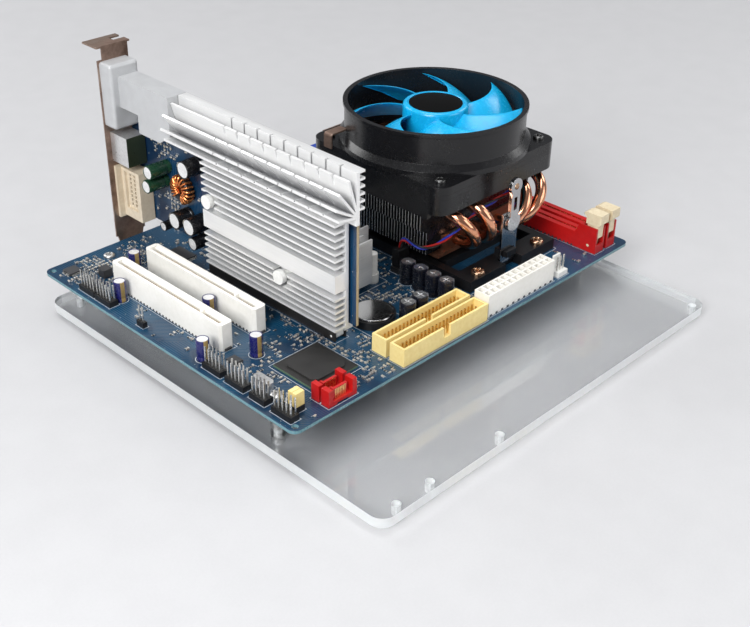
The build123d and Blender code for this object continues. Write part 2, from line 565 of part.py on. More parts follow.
# Cooler base: a block on a wider foot, with four bores for the heat pipes
def cooler_base():
    y1 = base_y0 + base_d
    body = block(cpu_x - base_w / 2, cpu_x + base_w / 2, base_y0, y1, base_low, base_top)
    body += block(cpu_x - foot_w / 2, cpu_x + foot_w / 2, base_y0 - foot_out, y1, base_low, base_low + foot_h)
    for dx in pipe_low_x:
        body -= pin_y(cpu_x + dx, base_y0, y1, pipe_low, pipe_d + pipe_fit)
    return body


def heat_pipe(low_dx, high_dx):
    low = Vector(cpu_x + low_dx, base_y0 + base_d - pipe_end, pipe_low)
    high = Vector(cpu_x + high_dx, fin_front + fin_pitch * fin_count - pipe_end, pipe_high)
    reach = math.hypot(high.X - low.X, high.Z - low.Z) / 2
    bend_y = pipe_nose_y + reach
    a, b = Vector(low.X, bend_y, low.Z), Vector(high.X, bend_y, high.Z)
    nose = (a + b) * 0.5 - Vector(0, reach, 0)
    path = Line(low, a) + ThreePointArc(a, nose, b) + Line(b, high)
    return sweep(Plane(origin=low, z_dir=(0, -1, 0)) * Circle(pipe_d / 2), path=path)


save("cooler_base", cooler_base())
save("heat_pipes", *[heat_pipe(a, b) for a, b in zip(pipe_low_x, pipe_high_x)])


# Cooler fins: thin upright plates, stepped in below, with channels for base, strap and pipes
def fin(y):
    w, n, waist = fin_wide / 2, fin_narrow / 2, fin_step - fin_slope
    outline = [(-n, fin_low), (-n, waist), (-w, fin_step), (-w, fin_top), (w, fin_top), (w, fin_step), (n, waist),
               (n, fin_low)]
    plate = along_y([(cpu_x + a, b) for a, b in outline], y, y + fin_t)
    side, clear, half = base_w / 2 + pipe_fit, clip_w / 2 + fin_clear, (pipe_d + pipe_fit) / 2
    plate -= block(cpu_x - side, cpu_x + side, y, y + fin_t, fin_low, base_top)
    plate -= block(cpu_x - clear, cpu_x + clear, y, y + fin_t, base_top, base_top + clip_t + fin_clear)
    for dx in pipe_high_x:
        plate -= block(cpu_x + dx - half, cpu_x + dx + half, y, y + fin_t, pipe_high - half, fin_top)
    return plate


save("cooler_fins", *[fin(fin_front + i * fin_pitch) for i in range(fin_count)])

bolt_spots = [(cpu_x + sx * fan_bolt / 2, fan_y + sy * fan_bolt / 2) for sx in (-1, 1) for sy in (-1, 1)]


# Fan shroud: a square plate over the fins with a skirt down each side
def shroud():
    body = round_plate(fan_x0, fan_x1, fan_y0, fan_y1, fan_seat - shroud_t, fan_seat, fan_corner_r)
    side = fin_wide / 2 + shroud_gap
    for a, b in ((fan_x0, cpu_x - side), (cpu_x + side, fan_x1)):
        body += block(a, b, fan_y0 + fan_corner_r, fan_y1 - fan_corner_r, shroud_bottom, fan_seat - shroud_t)
    return body - post(cpu_x, fan_y, shroud_bottom, fan_seat, 2 * (fan_inner_r - shroud_lip))


# Fan frame: a lugged plate, a ring with a flared foot and a rim, and four arms that carry the bearing tube
def fan_frame():
    frame = round_plate(fan_x0, fan_x1, fan_y0, fan_y1, fan_seat, ring_low, fan_corner_r)
    outer, inner, flare = fan_ring_r, fan_inner_r, fan_ring_r + flare_out
    rim, foot_z = fan_ring_r + rim_out, ring_low + flare_foot
    wall = [(inner, ring_low), (flare, ring_low), (flare, foot_z), (outer, foot_z + flare_h),
            (outer, fan_top - rim_h - rim_slope), (rim, fan_top - rim_h), (rim, fan_top), (inner, fan_top)]
    frame += Pos(cpu_x, fan_y, 0) * revolve(Plane.XZ * make_face(Polyline(*wall, close=True)), Axis.Z)
    frame -= post(cpu_x, fan_y, fan_seat, ring_low, 2 * inner)
    frame += post(cpu_x, fan_y, fan_seat, fan_seat + motor_t, 2 * motor_r)
    for angle in arm_angles_deg:
        arm = block(motor_r - arm_w / 4, inner + fan_ring_t / 2, -arm_w / 2, arm_w / 2, fan_seat, fan_seat + motor_t)
        frame += Pos(cpu_x, fan_y, 0) * Rot(0, 0, angle) * arm
    frame += post(cpu_x, fan_y, fan_seat + motor_t, hub_roof - tube_gap, 2 * tube_r)
    return frame - post(cpu_x, fan_y, fan_seat + shaft_floor, fan_top, shaft_d + 2 * shaft_fit)


shroud_body, frame_body = shroud(), fan_frame()
for x, y in bolt_spots:
    hole = post(x, y, 0, fan_top, thread_d + 2 * thread_fit)
    shroud_body -= hole
    frame_body -= hole
save("fan_shroud", shroud_body)
save("fan_frame", frame_body)
fan_screws = [post(x, y, ring_low, ring_low + fan_head_h, fan_head_d)
              + post(x, y, fan_seat - shroud_t, ring_low, thread_d) for x, y in bolt_spots]
save("cooler_screws", *frame_screws, *fan_screws)
stator_r = hub_r - hub_wall - stator_gap
stator = post(cpu_x, fan_y, fan_seat + motor_t + stator_low, hub_roof - 2 * stator_gap, 2 * stator_r)
save("fan_stator", stator - post(cpu_x, fan_y, fan_seat, fan_top, 2 * tube_r))


# Fan rotor: a cup with a shaft and swept blades, each lofted through sections at growing radius
def blade(angle):
    sections = []
    root = hub_r - blade_root
    for share in blade_shares:
        r = root + share * (tip_r - root)
        chord, pitch = chord_root + chord_grow * share, math.radians(pitch_root_deg - pitch_fall_deg * share)
        turn = angle + sweep_deg * share ** sweep_power
        side = Plane(origin=(cpu_x, fan_y, fan_top - blade_drop)).rotated((0, 0, turn))
        a, b = Vector(0, math.cos(pitch), math.sin(pitch)), Vector(0, -math.sin(pitch), math.cos(pitch))
        corners = [Vector(r, 0, 0) + a * (s * chord / 2) + b * (t * blade_t / 2)
                   for s, t in ((-1, -1), (1, -1), (1, 1), (-1, 1))]
        sections.append(Wire.make_polygon([side.from_local_coords(c) for c in corners], close=True))
    return Solid.make_loft(sections, ruled=True)


def fan_rotor():
    cup = post(cpu_x, fan_y, hub_low, hub_low + hub_h, 2 * hub_r)
    cup = chamfer(cup.edges().group_by(Axis.Z)[-1], hub_bevel)
    cup -= post(cpu_x, fan_y, hub_low, hub_roof, 2 * (hub_r - hub_wall))
    core = post(cpu_x, fan_y, 0, fan_top, 2 * hub_r - hub_wall)
    rim = post(cpu_x, fan_y, fan_seat + motor_t + blade_clear, fan_top - blade_clear, 2 * tip_r)
    for i in range(blade_count):
        cup += (blade(i * 360 / blade_count) - core) & rim
    return cup + post(cpu_x, fan_y, fan_seat + shaft_floor + shaft_end, hub_roof + hub_top_t / 2, shaft_d)


save("fan_rotor", fan_rotor())


# Spring clip: a strap over the base with a windowed leg at each end, and its cam lever
def clip_strap():
    half, top = clip_w / 2, strap_z + clip_t
    y0, y1 = cpu_y - clip_dy - clip_t, cpu_y + clip_dy + clip_t
    strap = block(cpu_x - strap_w / 2, cpu_x + strap_w / 2, y0, y1, strap_z, top)
    strap += block(cpu_x - half, cpu_x + half, y0, y0 + clip_t, clip_low, clip_pivot_z + clip_over)
    strap += block(cpu_x - half, cpu_x + half, y1 - clip_t, y1, clip_low, top)
    opening = lug_w / 2 + window_gap
    strap -= block(cpu_x - opening, cpu_x + opening, y0, y1, lug_h - lug_nose_h - window_gap, lug_h + window_gap)
    return strap - pin_y(cpu_x, y0, y0 + clip_t, clip_pivot_z, clip_pin_d + 2 * pin_fit)


def clip_lever():
    y1 = cpu_y - clip_dy - clip_t - latch_gap
    y0, z, top = y1 - lever_t, clip_pivot_z, clip_pivot_z + clip_arm
    arm = pin_y(cpu_x, y0, y1, z, lever_disc_d) + pin_y(cpu_x, y0, y1, top, lever_eye_d)
    arm += block(cpu_x - lever_w / 2, cpu_x + lever_w / 2, y0, y1, z, top)
    half = lever_slot_w / 2
    arm -= block(cpu_x - half, cpu_x + half, y0, y1, z + lever_slot_low, top - lever_slot_high)
    return arm + pin_y(cpu_x, y1, y1 + latch_gap + clip_t, z, clip_pin_d)


save("clip_strap", clip_strap())
save("clip_lever", clip_lever())

# Fan bracket: a bent steel tab on the shroud's rear face
tab_x = fan_x0 + tab_in
tab_leg = block(tab_x, tab_x + tab_leg_w, fan_y1, fan_y1 + tab_t, fan_seat - tab_drop, fan_seat)
save("fan_bracket", tab_leg + block(tab_x, tab_x + tab_w, fan_y1, fan_y1 + tab_out, fan_seat, fan_seat + tab_t))


# Graphics card board with its edge tongue
def card_board():
    end = slot_end + tongue_gap
    y0, y1 = card_slot_front + end, card_slot_front + card_slot_len - end
    notch = key_w / 2 + tongue_gap
    outline = [(card_front, card_shoulder), (y0, card_shoulder), (y0, tongue_low), (card_key_y - notch, tongue_low),
               (card_key_y - notch, card_shoulder), (card_key_y + notch, card_shoulder),
               (card_key_y + notch, tongue_low), (y1, tongue_low), (y1, card_shoulder), (card_rear, card_shoulder),
               (card_rear, card_top), (card_front, card_top)]
    return along_x(outline, card_face, card_back)


save("card_board", card_board())


# Card heatsink: an extrusion with a plain band, straight fins and a spray of fins over the card's top edge
def fin_bar(z):
    half = sink_fin_t / 2
    return block(sink_tip, sink_face, sink_low_front, sink_low_rear, z - half, z + half)


def spray_fins():
    fan = None
    for tilt, reach in spray:
        ray = Rot(0, -tilt, 0) * block(-spray_t / 2, spray_t / 2, sink_front, sink_rear, 0, reach)
        ray = Pos(sink_face + spray_in, 0, fan_core_z) * ray
        fan = ray if fan is None else fan + ray
    return fan - block(sink_face, card_back, sink_front, sink_rear, 0, 2 * sink_top)


def card_heatsink():
    sink = block(sink_face, sink_back, sink_low_front, sink_low_rear, sink_low, fan_core_z)
    sink += block(sink_tip, sink_face, sink_low_front, sink_low_rear, band_low, band_high)
    for i in range(low_fin_count):
        sink += fin_bar(sink_low + sink_fin_t / 2 + i * (band_low - sink_low - sink_fin_t) / low_fin_count)
    for i in range(1, mid_fin_count):
        sink += fin_bar(band_high + i * sink_fin_pitch)
    x0 = sink_face + sink_web_t
    web = block(sink_face, x0, sink_front, sink_rear, fan_core_z - sink_web_low, sink_top)
    for i in range(top_fin_count):
        z = sink_top - i * sink_fin_pitch
        web += block(x0, card_back, sink_front, sink_rear, z - sink_fin_t, z)
    rays, tail = spray_fins(), 2 * sink_depth
    for i in range(cut_count):
        a, b = cut_first + i * cut_pitch - cut_w / 2, cut_first + i * cut_pitch + cut_w / 2
        rays -= block(sink_face - 2 * tail, sink_face - cut_in, a, b, fan_core_z + cut_low, sink_top)
        web -= block(sink_face, sink_back, a, b, fan_core_z + cut_web_low, sink_top)
    sink += web + rays
    for y, z in pin_spots:
        sink -= pin_x(sink_tip, sink_face, y, z, pin_pocket_d)
    return sink


def card_push_pin(y, z):
    x0 = sink_tip - card_pin_out
    return pin_x(x0, sink_face, y, z, card_pin_d) + pin_x(x0, x0 + card_pin_head_t, y, z, card_pin_head_d)


save("card_heatsink", card_heatsink())
save("push_pins", *[board_push_pin(s) for s in (1, -1)], *[card_push_pin(y, z) for y, z in pin_spots])


# Card bracket: a folded steel strip with a slotted tab, a tapered foot and three port openings
def card_bracket():
    x0, x1 = bracket_x, bracket_x + bracket_w
    y0, y1 = bracket_y, bracket_y + bracket_t
    tab_low, tab_rear = bracket_top - bracket_t, y1 + bracket_tab
    strip = block(x0, x1, y0, y1, 0, bracket_top)
    a, b, c, d = [x0 + x for x in bracket_foot]
    strip += along_y([(a, 0), (b, bracket_low), (c, bracket_low), (d, 0)], y0, y1)
    strip -= block(x0, x0 + bracket_fold, y0, y1, bracket_top - bracket_notch, tab_low)
    strip += block(x0, x1 + tab_over, y0, tab_rear, tab_low, bracket_top)
    notch_y, half = tab_rear - tab_notch_y, tab_notch_w / 2
    strip -= block(x1 - tab_notch, x1 + tab_over, notch_y - half, notch_y + half, tab_low, bracket_top)
    x0, x1 = port_x[0] + nose_edge - port_fit, port_x[1] - nose_edge + port_fit
    for low, high in (digital_z, video_z, display_z):
        strip -= block(x0, x1, y0, y1, low + nose_end - port_fit, high - nose_end + port_fit)
    return strip


def port(length, low, high):
    x0, x1 = port_x[0] + nose_edge, port_x[1] - nose_edge
    z0, z1, y1 = low + nose_end, high - nose_end, bracket_y + bracket_t + nose_len
    body = block(*port_x, bracket_y - length, bracket_y, low, high) + block(x0, x1, bracket_y, y1, z0, z1)
    return body - block(x0 + nose_wall, x1 - nose_wall, bracket_y, y1, z0 + nose_wall, z1 - nose_wall)


# Digital port: a flange, and a body with a recess that holds two columns of pockets
def digital_port():
    low, high = digital_z
    y0, y1 = bracket_y - digital_len, bracket_y - flange_t
    x = digital_x + recess_t
    body = port(flange_t, low, high) + block(digital_x, port_x[1], y0, y1, low + digital_end, high - digital_end)
    a, b, z0, half = y0 + recess_front, y1 - recess_rear, low + recess_low, pocket_w / 2
    body -= block(digital_x, x, a, b, z0, high - recess_high)
    for y in (a + pocket_inset, b - pocket_inset):
        for i in range(pocket_count):
            z = z0 + (i + 1) * pocket_pitch
            body -= block(x, x + pocket_t, y - half, y + half, z - half, z + half)
    return body


save("card_bracket", card_bracket())
save("digital_port", digital_port())
save("signal_ports", port(video_len, *video_z), port(display_len, *display_z))


# Card cover: a thin hood over the bracket's upper port, with an arm that reaches to the heatsink
def card_cover():
    x0, x1, t = bracket_x + cover_side, bracket_x + bracket_w - cover_side, cover_t
    hood = block(x0, x1, cover_step_y, bracket_y, hood_low, hood_high)
    hood = fillet(hood.edges().filter_by(Axis.Y) + hood.faces().sort_by(Axis.Y)[0].edges(), hood_r)
    hood -= block(x0 + t, x1 - t, cover_step_y + t, bracket_y, hood_low + t, hood_high - t)
    a, b, front, rear = sink_face - cover_out, card_back, cover_front_y, cover_step_y + t / 2
    side = [(front, cover_cut_z), (cover_cut_y, cover_tab_z), (cover_neck_y, cover_tab_z),
            (cover_neck_y, cover_neck_z), (rear, cover_neck_z), (rear, sink_top), (front, sink_top)]
    arm = along_x(side, a, b) - block(sink_face, b, front, rear, 0, card_top + cover_gap)
    arm -= block(a + t, b - t, front + t, rear, 0, sink_top - t)
    slot = block(card_face - cover_gap, card_back + cover_gap, cover_step_y, bracket_y, 0, card_top + cover_gap)
    return hood + arm - slot


save("card_cover", card_cover())


# Card capacitors and choke stand out from the card's face
def card_can(y, z, d, h):
    return pin_x(card_face - h, card_face, y, z, d)


def choke_ring(x):
    x0, x1 = x - choke_w / 2, x + choke_w / 2
    ring = pin_x(x0, x1, choke_y, choke_z, 2 * choke_out_r) - pin_x(x0, x1, choke_y, choke_z, 2 * choke_in_r)
    return chamfer(ring.edges().filter_by(GeomType.CIRCLE), choke_bevel)


save("card_capacitors", *[card_can(*one) for one in green_cans + dark_cans])
choke_x = card_face - choke_w / 2 - choke_wire_d - choke_lift
leg_off = (choke_out_r + choke_in_r) / 2
choke_legs = [pin_x(choke_x + choke_w / 2, card_face, choke_y, choke_z + s * leg_off, choke_leg_d)
              for s in (-1, 1)]
save("choke", choke_ring(choke_x), *choke_legs)


# Rear ports along the board's rear edge
def rear_box(x0, x1, depth, h):
    return block(x0, x1, rear_face - depth, rear_face, 0, h)


def audio_jacks():
    jacks = rear_box(*audio_x, audio_depth, audio_h)
    for i in range(jack_count):
        x, end = jack_x + i * jack_pitch, rear_face + jack_len
        jacks += pin_y(x, rear_face, end, jack_z, jack_d)
        jacks -= pin_y(x, rear_face - jack_depth, end, jack_z, jack_bore)
    return jacks


def network_port():
    body = rear_box(*network_x, network_depth, network_h)
    a, b = network_x[0] + network_wall, network_x[1] - network_wall
    body -= block(a, b, rear_face - network_hole_depth, rear_face, *network_hole)
    for z in network_usb_z:
        body -= block(a, b, rear_face - port_depth, rear_face, z, z + network_usb_h)
    return body


def usb_port():
    body = rear_box(*usb_x, usb_depth, usb_h)
    a, b = usb_x[0] + usb_wall, usb_x[1] - usb_wall
    for z in usb_z:
        body -= block(a, b, rear_face - port_depth, rear_face, z, z + usb_hole)
    return body


def screen_port():
    (a, b), (low, high), end, t = screen_nose_x, screen_nose_z, rear_face + screen_nose_len, screen_wall
    nose = block(a, b, rear_face, end, low, high) - block(a + t, b - t, rear_face, end, low + t, high - t)
    return rear_box(*screen_x, screen_depth, screen_h) + nose


def keyboard_ports():
    body = rear_box(*keyboard_x, keyboard_depth, keyboard_h)
    for z in keyboard_z:
        body -= pin_y(sum(keyboard_x) / 2, rear_face - keyboard_hole, rear_face, z, keyboard_bore)
    return body


save("audio_jacks", audio_jacks())
save("metal_ports", network_port(), usb_port())
save("screen_port", screen_port())
save("keyboard_ports", keyboard_ports())

# Fan lead: from under the shroud's front corner, down behind the heat pipes, to its plug beside the cooler
lead_d, bend_share = 2.4, 0.45
plug_x, plug_y, plug_top = fan_header_2[0] + fan_header_w / 2, fan_header_2[1] + fan_pin_y, plug_low + plug_h
lead_points = [(208.0, 45.5, fan_seat - shroud_t), (208.0, 45.5, 45.5), (207.0, 46.0, 38.0), (203.5, 46.8, 31.5),
               (195.0, 47.0, 29.0), (178.5, 47.0, 28.2), (165.0, 47.0, 25.0), (152.0, 47.0, 21.0),
               (142.0, 47.5, 18.0), (133.8, 50.5, 17.0), (131.6, 56.5, 18.5), (131.5, 61.3, 19.5),
               (plug_x, plug_y, 17.4), (plug_x, plug_y, plug_top)]


def lead_radii(points):
    """The largest arc that each corner's shorter run leaves room for."""
    corners = [Vector(*p) for p in points]
    radii = []
    for a, b, c in zip(corners, corners[1:], corners[2:]):
        turn = math.radians((b - a).get_angle(c - b))
        radii.append(bend_share * min((b - a).length, (c - b).length) / math.tan(turn / 2))
    return radii


lead_path = FilletPolyline(*lead_points, radius=lead_radii(lead_points))
start = Plane(origin=lead_path @ 0, z_dir=lead_path % 0)
save("fan_lead", sweep(start * Circle(lead_d / 2), path=lead_path))
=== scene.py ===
import json
import math

import bmesh
import bpy
import numpy as np
from mathutils import Matrix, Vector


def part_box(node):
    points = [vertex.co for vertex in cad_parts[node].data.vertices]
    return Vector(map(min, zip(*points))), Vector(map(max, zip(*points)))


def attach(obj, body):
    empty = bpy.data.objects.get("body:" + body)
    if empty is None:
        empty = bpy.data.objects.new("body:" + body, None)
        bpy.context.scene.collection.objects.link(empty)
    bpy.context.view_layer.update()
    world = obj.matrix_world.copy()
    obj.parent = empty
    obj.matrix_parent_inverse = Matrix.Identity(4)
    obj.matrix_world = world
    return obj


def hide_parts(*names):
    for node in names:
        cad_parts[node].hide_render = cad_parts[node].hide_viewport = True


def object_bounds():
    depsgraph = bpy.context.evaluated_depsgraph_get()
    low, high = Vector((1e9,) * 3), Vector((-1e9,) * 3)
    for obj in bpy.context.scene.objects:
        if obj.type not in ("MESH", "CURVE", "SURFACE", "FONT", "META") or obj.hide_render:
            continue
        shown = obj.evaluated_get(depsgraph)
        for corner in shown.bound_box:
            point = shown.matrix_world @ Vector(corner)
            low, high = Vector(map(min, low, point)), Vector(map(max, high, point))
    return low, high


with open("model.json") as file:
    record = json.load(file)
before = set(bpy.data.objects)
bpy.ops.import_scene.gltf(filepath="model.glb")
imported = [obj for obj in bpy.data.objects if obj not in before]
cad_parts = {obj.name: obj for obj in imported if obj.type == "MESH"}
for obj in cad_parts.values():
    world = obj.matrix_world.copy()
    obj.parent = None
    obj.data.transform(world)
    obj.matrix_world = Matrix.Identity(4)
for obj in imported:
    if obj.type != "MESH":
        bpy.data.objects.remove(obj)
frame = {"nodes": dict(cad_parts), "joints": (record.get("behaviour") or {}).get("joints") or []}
cad_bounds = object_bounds()

# Shapes are in millimetres from the board's near left corner: X along the front edge, Y to the rear edge and
# Z up from the board's top face. add_piece puts them into the frame in metres.
MM = 0.001
TURN = 2 * math.pi
STEPS_PER_MM = 500
SHARP_EDGE = math.radians(35)
board_low, board_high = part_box("main_board")
HOME = np.array([board_low.x, board_low.y, board_high.z])
rng = np.random.default_rng(7)


def node_box(node):
    """Lowest and highest corner of a CAD node in millimetres from the board's corner."""
    low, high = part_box(node)
    return (np.array(low) - HOME) / MM, (np.array(high) - HOME) / MM


def node_triangles(node):
    """A CAD node's triangles as an array of corners, in millimetres from the board's corner."""
    mesh = frame["nodes"][node].data
    points = np.zeros(len(mesh.vertices) * 3, np.float32)
    mesh.vertices.foreach_get("co", points)
    mesh.calc_loop_triangles()
    corners = np.zeros(len(mesh.loop_triangles) * 3, np.int32)
    mesh.loop_triangles.foreach_get("vertices", corners)
    return (points.reshape(-1, 3)[corners.reshape(-1, 3)] - HOME) / MM


def solids(node):
    """Boxes of a node's separate solids: corners that round to one place share a label, and triangles spread
    the lowest label over all that they join."""
    triangles = node_triangles(node)
    keys = np.round(triangles.reshape(-1, 3) * STEPS_PER_MM).astype(np.int64)
    index = np.unique(keys, axis=0, return_inverse=True)[1].reshape(-1, 3)
    label = np.arange(index.max() + 1)
    while True:
        lowest = label[index].min(1)
        spread = label.copy()
        for corner in range(3):
            np.minimum.at(spread, index[:, corner], lowest)
        spread = spread[spread]
        if np.array_equal(spread, label):
            break
        label = spread
    owner = label[index[:, 0]]
    groups = [triangles[owner == one].reshape(-1, 3) for one in np.unique(owner)]
    return np.array([(points.min(0), points.max(0)) for points in groups])


# Mesh building
def quads(rows, columns, close_rows=False, close_columns=False):
    """Faces of a grid of points; the last row or column joins the first where it is closed."""
    r = np.arange(rows if close_rows else rows - 1)[:, None]
    c = np.arange(columns if close_columns else columns - 1)[None, :]
    r2, c2 = (r + 1) % rows, (c + 1) % columns
    corners = [r * columns + c, r * columns + c2, r2 * columns + c2, r2 * columns + c]
    return np.stack(np.broadcast_arrays(*corners), -1).reshape(-1, 4)


def gather(*shapes):
    """Several (points, faces) shapes as one."""
    points, faces, start = [], [], 0
    for p, f in shapes:
        points.append(p)
        faces.append(f + start)
        start += len(p)
    return np.concatenate(points), np.concatenate(faces)


def copies(shape, spots):
    """One shape moved to each spot."""
    points, faces = shape
    steps = np.arange(len(spots)) * len(points)
    moved = (points[None] + spots[:, None]).reshape(-1, 3)
    return moved, (faces[None] + steps[:, None, None]).reshape(-1, 4)


def lathe(profile, sides=32):
    """A profile of (radius, height) points turned about Z."""
    profile = np.asarray(profile, float)
    angle = np.linspace(0, TURN, sides, endpoint=False)
    r, z = profile[:, :1], profile[:, 1:]
    points = np.stack(np.broadcast_arrays(r * np.cos(angle), r * np.sin(angle), z), -1)
    return points.reshape(-1, 3), quads(len(profile), sides, close_columns=True)


def turned_y(profile, x, z, y, sides=32):
    """A profile of (radius, depth) points turned about an axis along Y."""
    points, faces = lathe(profile, sides)
    return np.stack([x + points[:, 0], y + points[:, 2], z + points[:, 1]], -1), faces


def bars(low, high, edge):
    """Chamfered boxes: four rings of eight points, the outer two drawn in by the edge, and two caps."""
    around, cut_share = 8, 0.6
    low, high = np.asarray(low, float).reshape(-1, 3), np.asarray(high, float).reshape(-1, 3)
    levels = ((edge, low[:, 2]), (0, low[:, 2] + edge), (0, high[:, 2] - edge), (edge, high[:, 2]))
    rings = []
    for inset, z in levels:
        x0, y0 = low[:, 0] + inset, low[:, 1] + inset
        x1, y1 = high[:, 0] - inset, high[:, 1] - inset
        c = edge - inset * cut_share
        ring = [(x0 + c, y0), (x1 - c, y0), (x1, y0 + c), (x1, y1 - c),
                (x1 - c, y1), (x0 + c, y1), (x0, y1 - c), (x0, y0 + c)]
        rings.append(np.stack([np.stack([x, y, z], -1) for x, y in ring], 1))
    points = np.stack(rings, 1).reshape(-1, 3)
    cap = np.array([(0, 1, 2, 3), (0, 3, 4, 7), (4, 5, 6, 7)])
    faces = np.concatenate([quads(4, around, close_columns=True), cap[:, ::-1], cap + 3 * around])
    steps = np.arange(len(low)) * 4 * around
    return points, (faces[None] + steps[:, None, None]).reshape(-1, 4)


def box_rows(x0, x1, y0, y1, z0, z1, edge):
    """Chamfered boxes from six limits, each one number or an array."""
    limits = np.broadcast_arrays(*[np.asarray(v, float) for v in (x0, x1, y0, y1, z0, z1)])
    limits = [v.ravel() for v in limits]
    return bars(np.stack(limits[0::2], -1), np.stack(limits[1::2], -1), edge)


def posts(x, y, half, levels, edge):
    """Chamfered boxes about (x, y) places; half holds half their width and half their depth."""
    return box_rows(x - half[0], x + half[0], y - half[1], y + half[1], *levels, edge)


def tube(path, radius, sides=12):
    """A circle carried along a path, its frame turned as little as the path turns."""
    step = np.roll(path, -1, 0) - np.roll(path, 1, 0)
    step[0], step[-1] = path[1] - path[0], path[-1] - path[-2]
    step /= np.linalg.norm(step, axis=1)[:, None]
    steep = abs(step[0][2]) >= 0.9
    side = np.cross(step[0], (1, 0, 0) if steep else (0, 0, 1))
    sides_along = []
    for forward in step:
        side = side - forward * (side @ forward)
        side = side / np.linalg.norm(side)
        sides_along.append(side)
    a = np.array(sides_along)
    b = np.cross(step, a)
    angle = np.linspace(0, TURN, sides, endpoint=False)[None, :, None]
    ring = a[:, None] * np.cos(angle) + b[:, None] * np.sin(angle)
    return (path[:, None] + radius * ring).reshape(-1, 3), quads(len(path), sides, close_columns=True)


def sheet_strip(outer, inner, low, high):
    """A bent sheet: faces between an outer and an inner line of (a, b) points, from level low to high."""
    low, high = np.full(len(outer), low), np.full(len(outer), high)
    ring = [np.c_[outer, low], np.c_[outer, high], np.c_[inner, high], np.c_[inner, low]]
    points = np.stack(ring, 1).reshape(-1, 3)
    last = len(points) - 1
    ends = [(3, 2, 1, 0), (last - 3, last - 2, last - 1, last)]
    return points, np.concatenate([quads(len(outer), 4, close_columns=True), ends])


def arc(centre, radius, start, end):
    """Points of an arc from a start to an end angle in degrees."""
    angle = np.radians(np.linspace(start, end, 9))
    return np.stack([centre[0] + radius * np.cos(angle), centre[1] + radius * np.sin(angle)], -1)


def add_piece(name, shape, material, body="bench", uv=None, stands_for=()):
    """Puts a shape into the frame as a mesh that rides on a body; edges past the sharp angle stay sharp."""
    points, faces = shape
    mesh = bpy.data.meshes.new(name)
    mesh.vertices.add(len(points))
    mesh.vertices.foreach_set("co", (HOME + points * MM).astype(np.float32).ravel())
    mesh.loops.add(faces.size)
    mesh.loops.foreach_set("vertex_index", faces.astype(np.int32).ravel())
    mesh.polygons.add(len(faces))
    mesh.polygons.foreach_set("loop_start", np.arange(len(faces), dtype=np.int32) * 4)
    mesh.update(calc_edges=True)
    if uv is not None:
        layer = mesh.uv_layers.new(name="wrap")
        layer.data.foreach_set("uv", uv.astype(np.float32).ravel())
    work = bmesh.new()
    work.from_mesh(mesh)
    bmesh.ops.remove_doubles(work, verts=work.verts, dist=1e-7)
    for face in work.faces:
        face.smooth = True
    for line in work.edges:
        line.smooth = line.calc_face_angle(0.0) < SHARP_EDGE
    work.to_mesh(mesh)
    work.free()
    mesh.materials.append(material)
    piece = bpy.data.objects.new(name, mesh)
    bpy.context.scene.collection.objects.link(piece)
    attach(piece, body)
    if stands_for:
        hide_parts(*stands_for)


# Shader building
def new_material(name):
    """A material with its node tree and its main shader."""
    material = bpy.data.materials.new(name)
    material.use_nodes = True
    return material, material.node_tree, material.node_tree.nodes["Principled BSDF"]


def set_sockets(tree, node, sockets):
    """Sets each socket to a value, or links it where the value is another node's output."""
    for key, value in sockets.items():
        if isinstance(value, bpy.types.NodeSocket):
            tree.links.new(value, node.inputs[key])
        else:
            node.inputs[key].default_value = value


def add_node(tree, kind, settings=None, sockets=None):
    """A shader node with its settings and sockets."""
    made = tree.nodes.new(kind)
    for key, value in (settings or {}).items():
        setattr(made, key, value)
    set_sockets(tree, made, sockets or {})
    return made


def place(tree, stretch=(1, 1, 1), output="Object"):
    """The place on the piece, stretched along its axes."""
    coordinates = add_node(tree, "ShaderNodeTexCoord").outputs[output]
    sockets = {"Vector": coordinates, "Scale": stretch}
    return add_node(tree, "ShaderNodeMapping", sockets=sockets).outputs["Vector"]


def part_of(tree, vector, axis):
    """One axis of a vector."""
    return add_node(tree, "ShaderNodeSeparateXYZ", sockets={"Vector": vector}).outputs[axis]


def noise(tree, where, scale, detail=3.0, rough=0.55):
    """Cloudy noise about one half; scale is in clouds a metre."""
    sockets = {"Vector": where, "Scale": scale, "Detail": detail, "Roughness": rough}
    return add_node(tree, "ShaderNodeTexNoise", sockets=sockets).outputs["Fac"]


def ramp(tree, value, stops):
    """A colour that runs between (value, colour) stops."""
    made = add_node(tree, "ShaderNodeValToRGB", sockets={"Fac": value})
    bar = made.color_ramp
    while len(bar.elements) < len(stops):
        bar.elements.new(0.5)
    for element, (position, colour) in zip(bar.elements, stops):
        element.position = position
        element.color = (*colour, 1.0)
    return made.outputs["Color"]


def remap(tree, value, low, high, new_low=0.0, new_high=1.0):
    """A value moved in a straight line from one span to another, and held at its ends."""
    sockets = {"Value": value, "From Min": low, "From Max": high, "To Min": new_low, "To Max": new_high}
    return add_node(tree, "ShaderNodeMapRange", sockets=sockets).outputs["Result"]


def math_node(tree, operation, a, b=0.0, c=0.0):
    """A sum, product or test of values."""
    made = add_node(tree, "ShaderNodeMath", {"operation": operation}, {0: a, 1: b, 2: c})
    return made.outputs["Value"]


def vector_node(tree, operation, a, b, output):
    """A product or distance of two vectors; output says which result."""
    return add_node(tree, "ShaderNodeVectorMath", {"operation": operation}, {0: a, 1: b}).outputs[output]


def choose(tree, test, a, b):
    """The value a where a test gives nothing, and b where it gives one."""
    return add_node(tree, "ShaderNodeMix", sockets={"Factor": test, "A": a, "B": b}).outputs["Result"]


def mix_colour(tree, share, a, b):
    """Colour a, with a share of colour b mixed in."""
    a, b = [v if isinstance(v, bpy.types.NodeSocket) else (*v, 1.0) for v in (a, b)]
    return add_node(tree, "ShaderNodeMix", {"data_type": "RGBA"}, {0: share, 6: a, 7: b}).outputs[2]


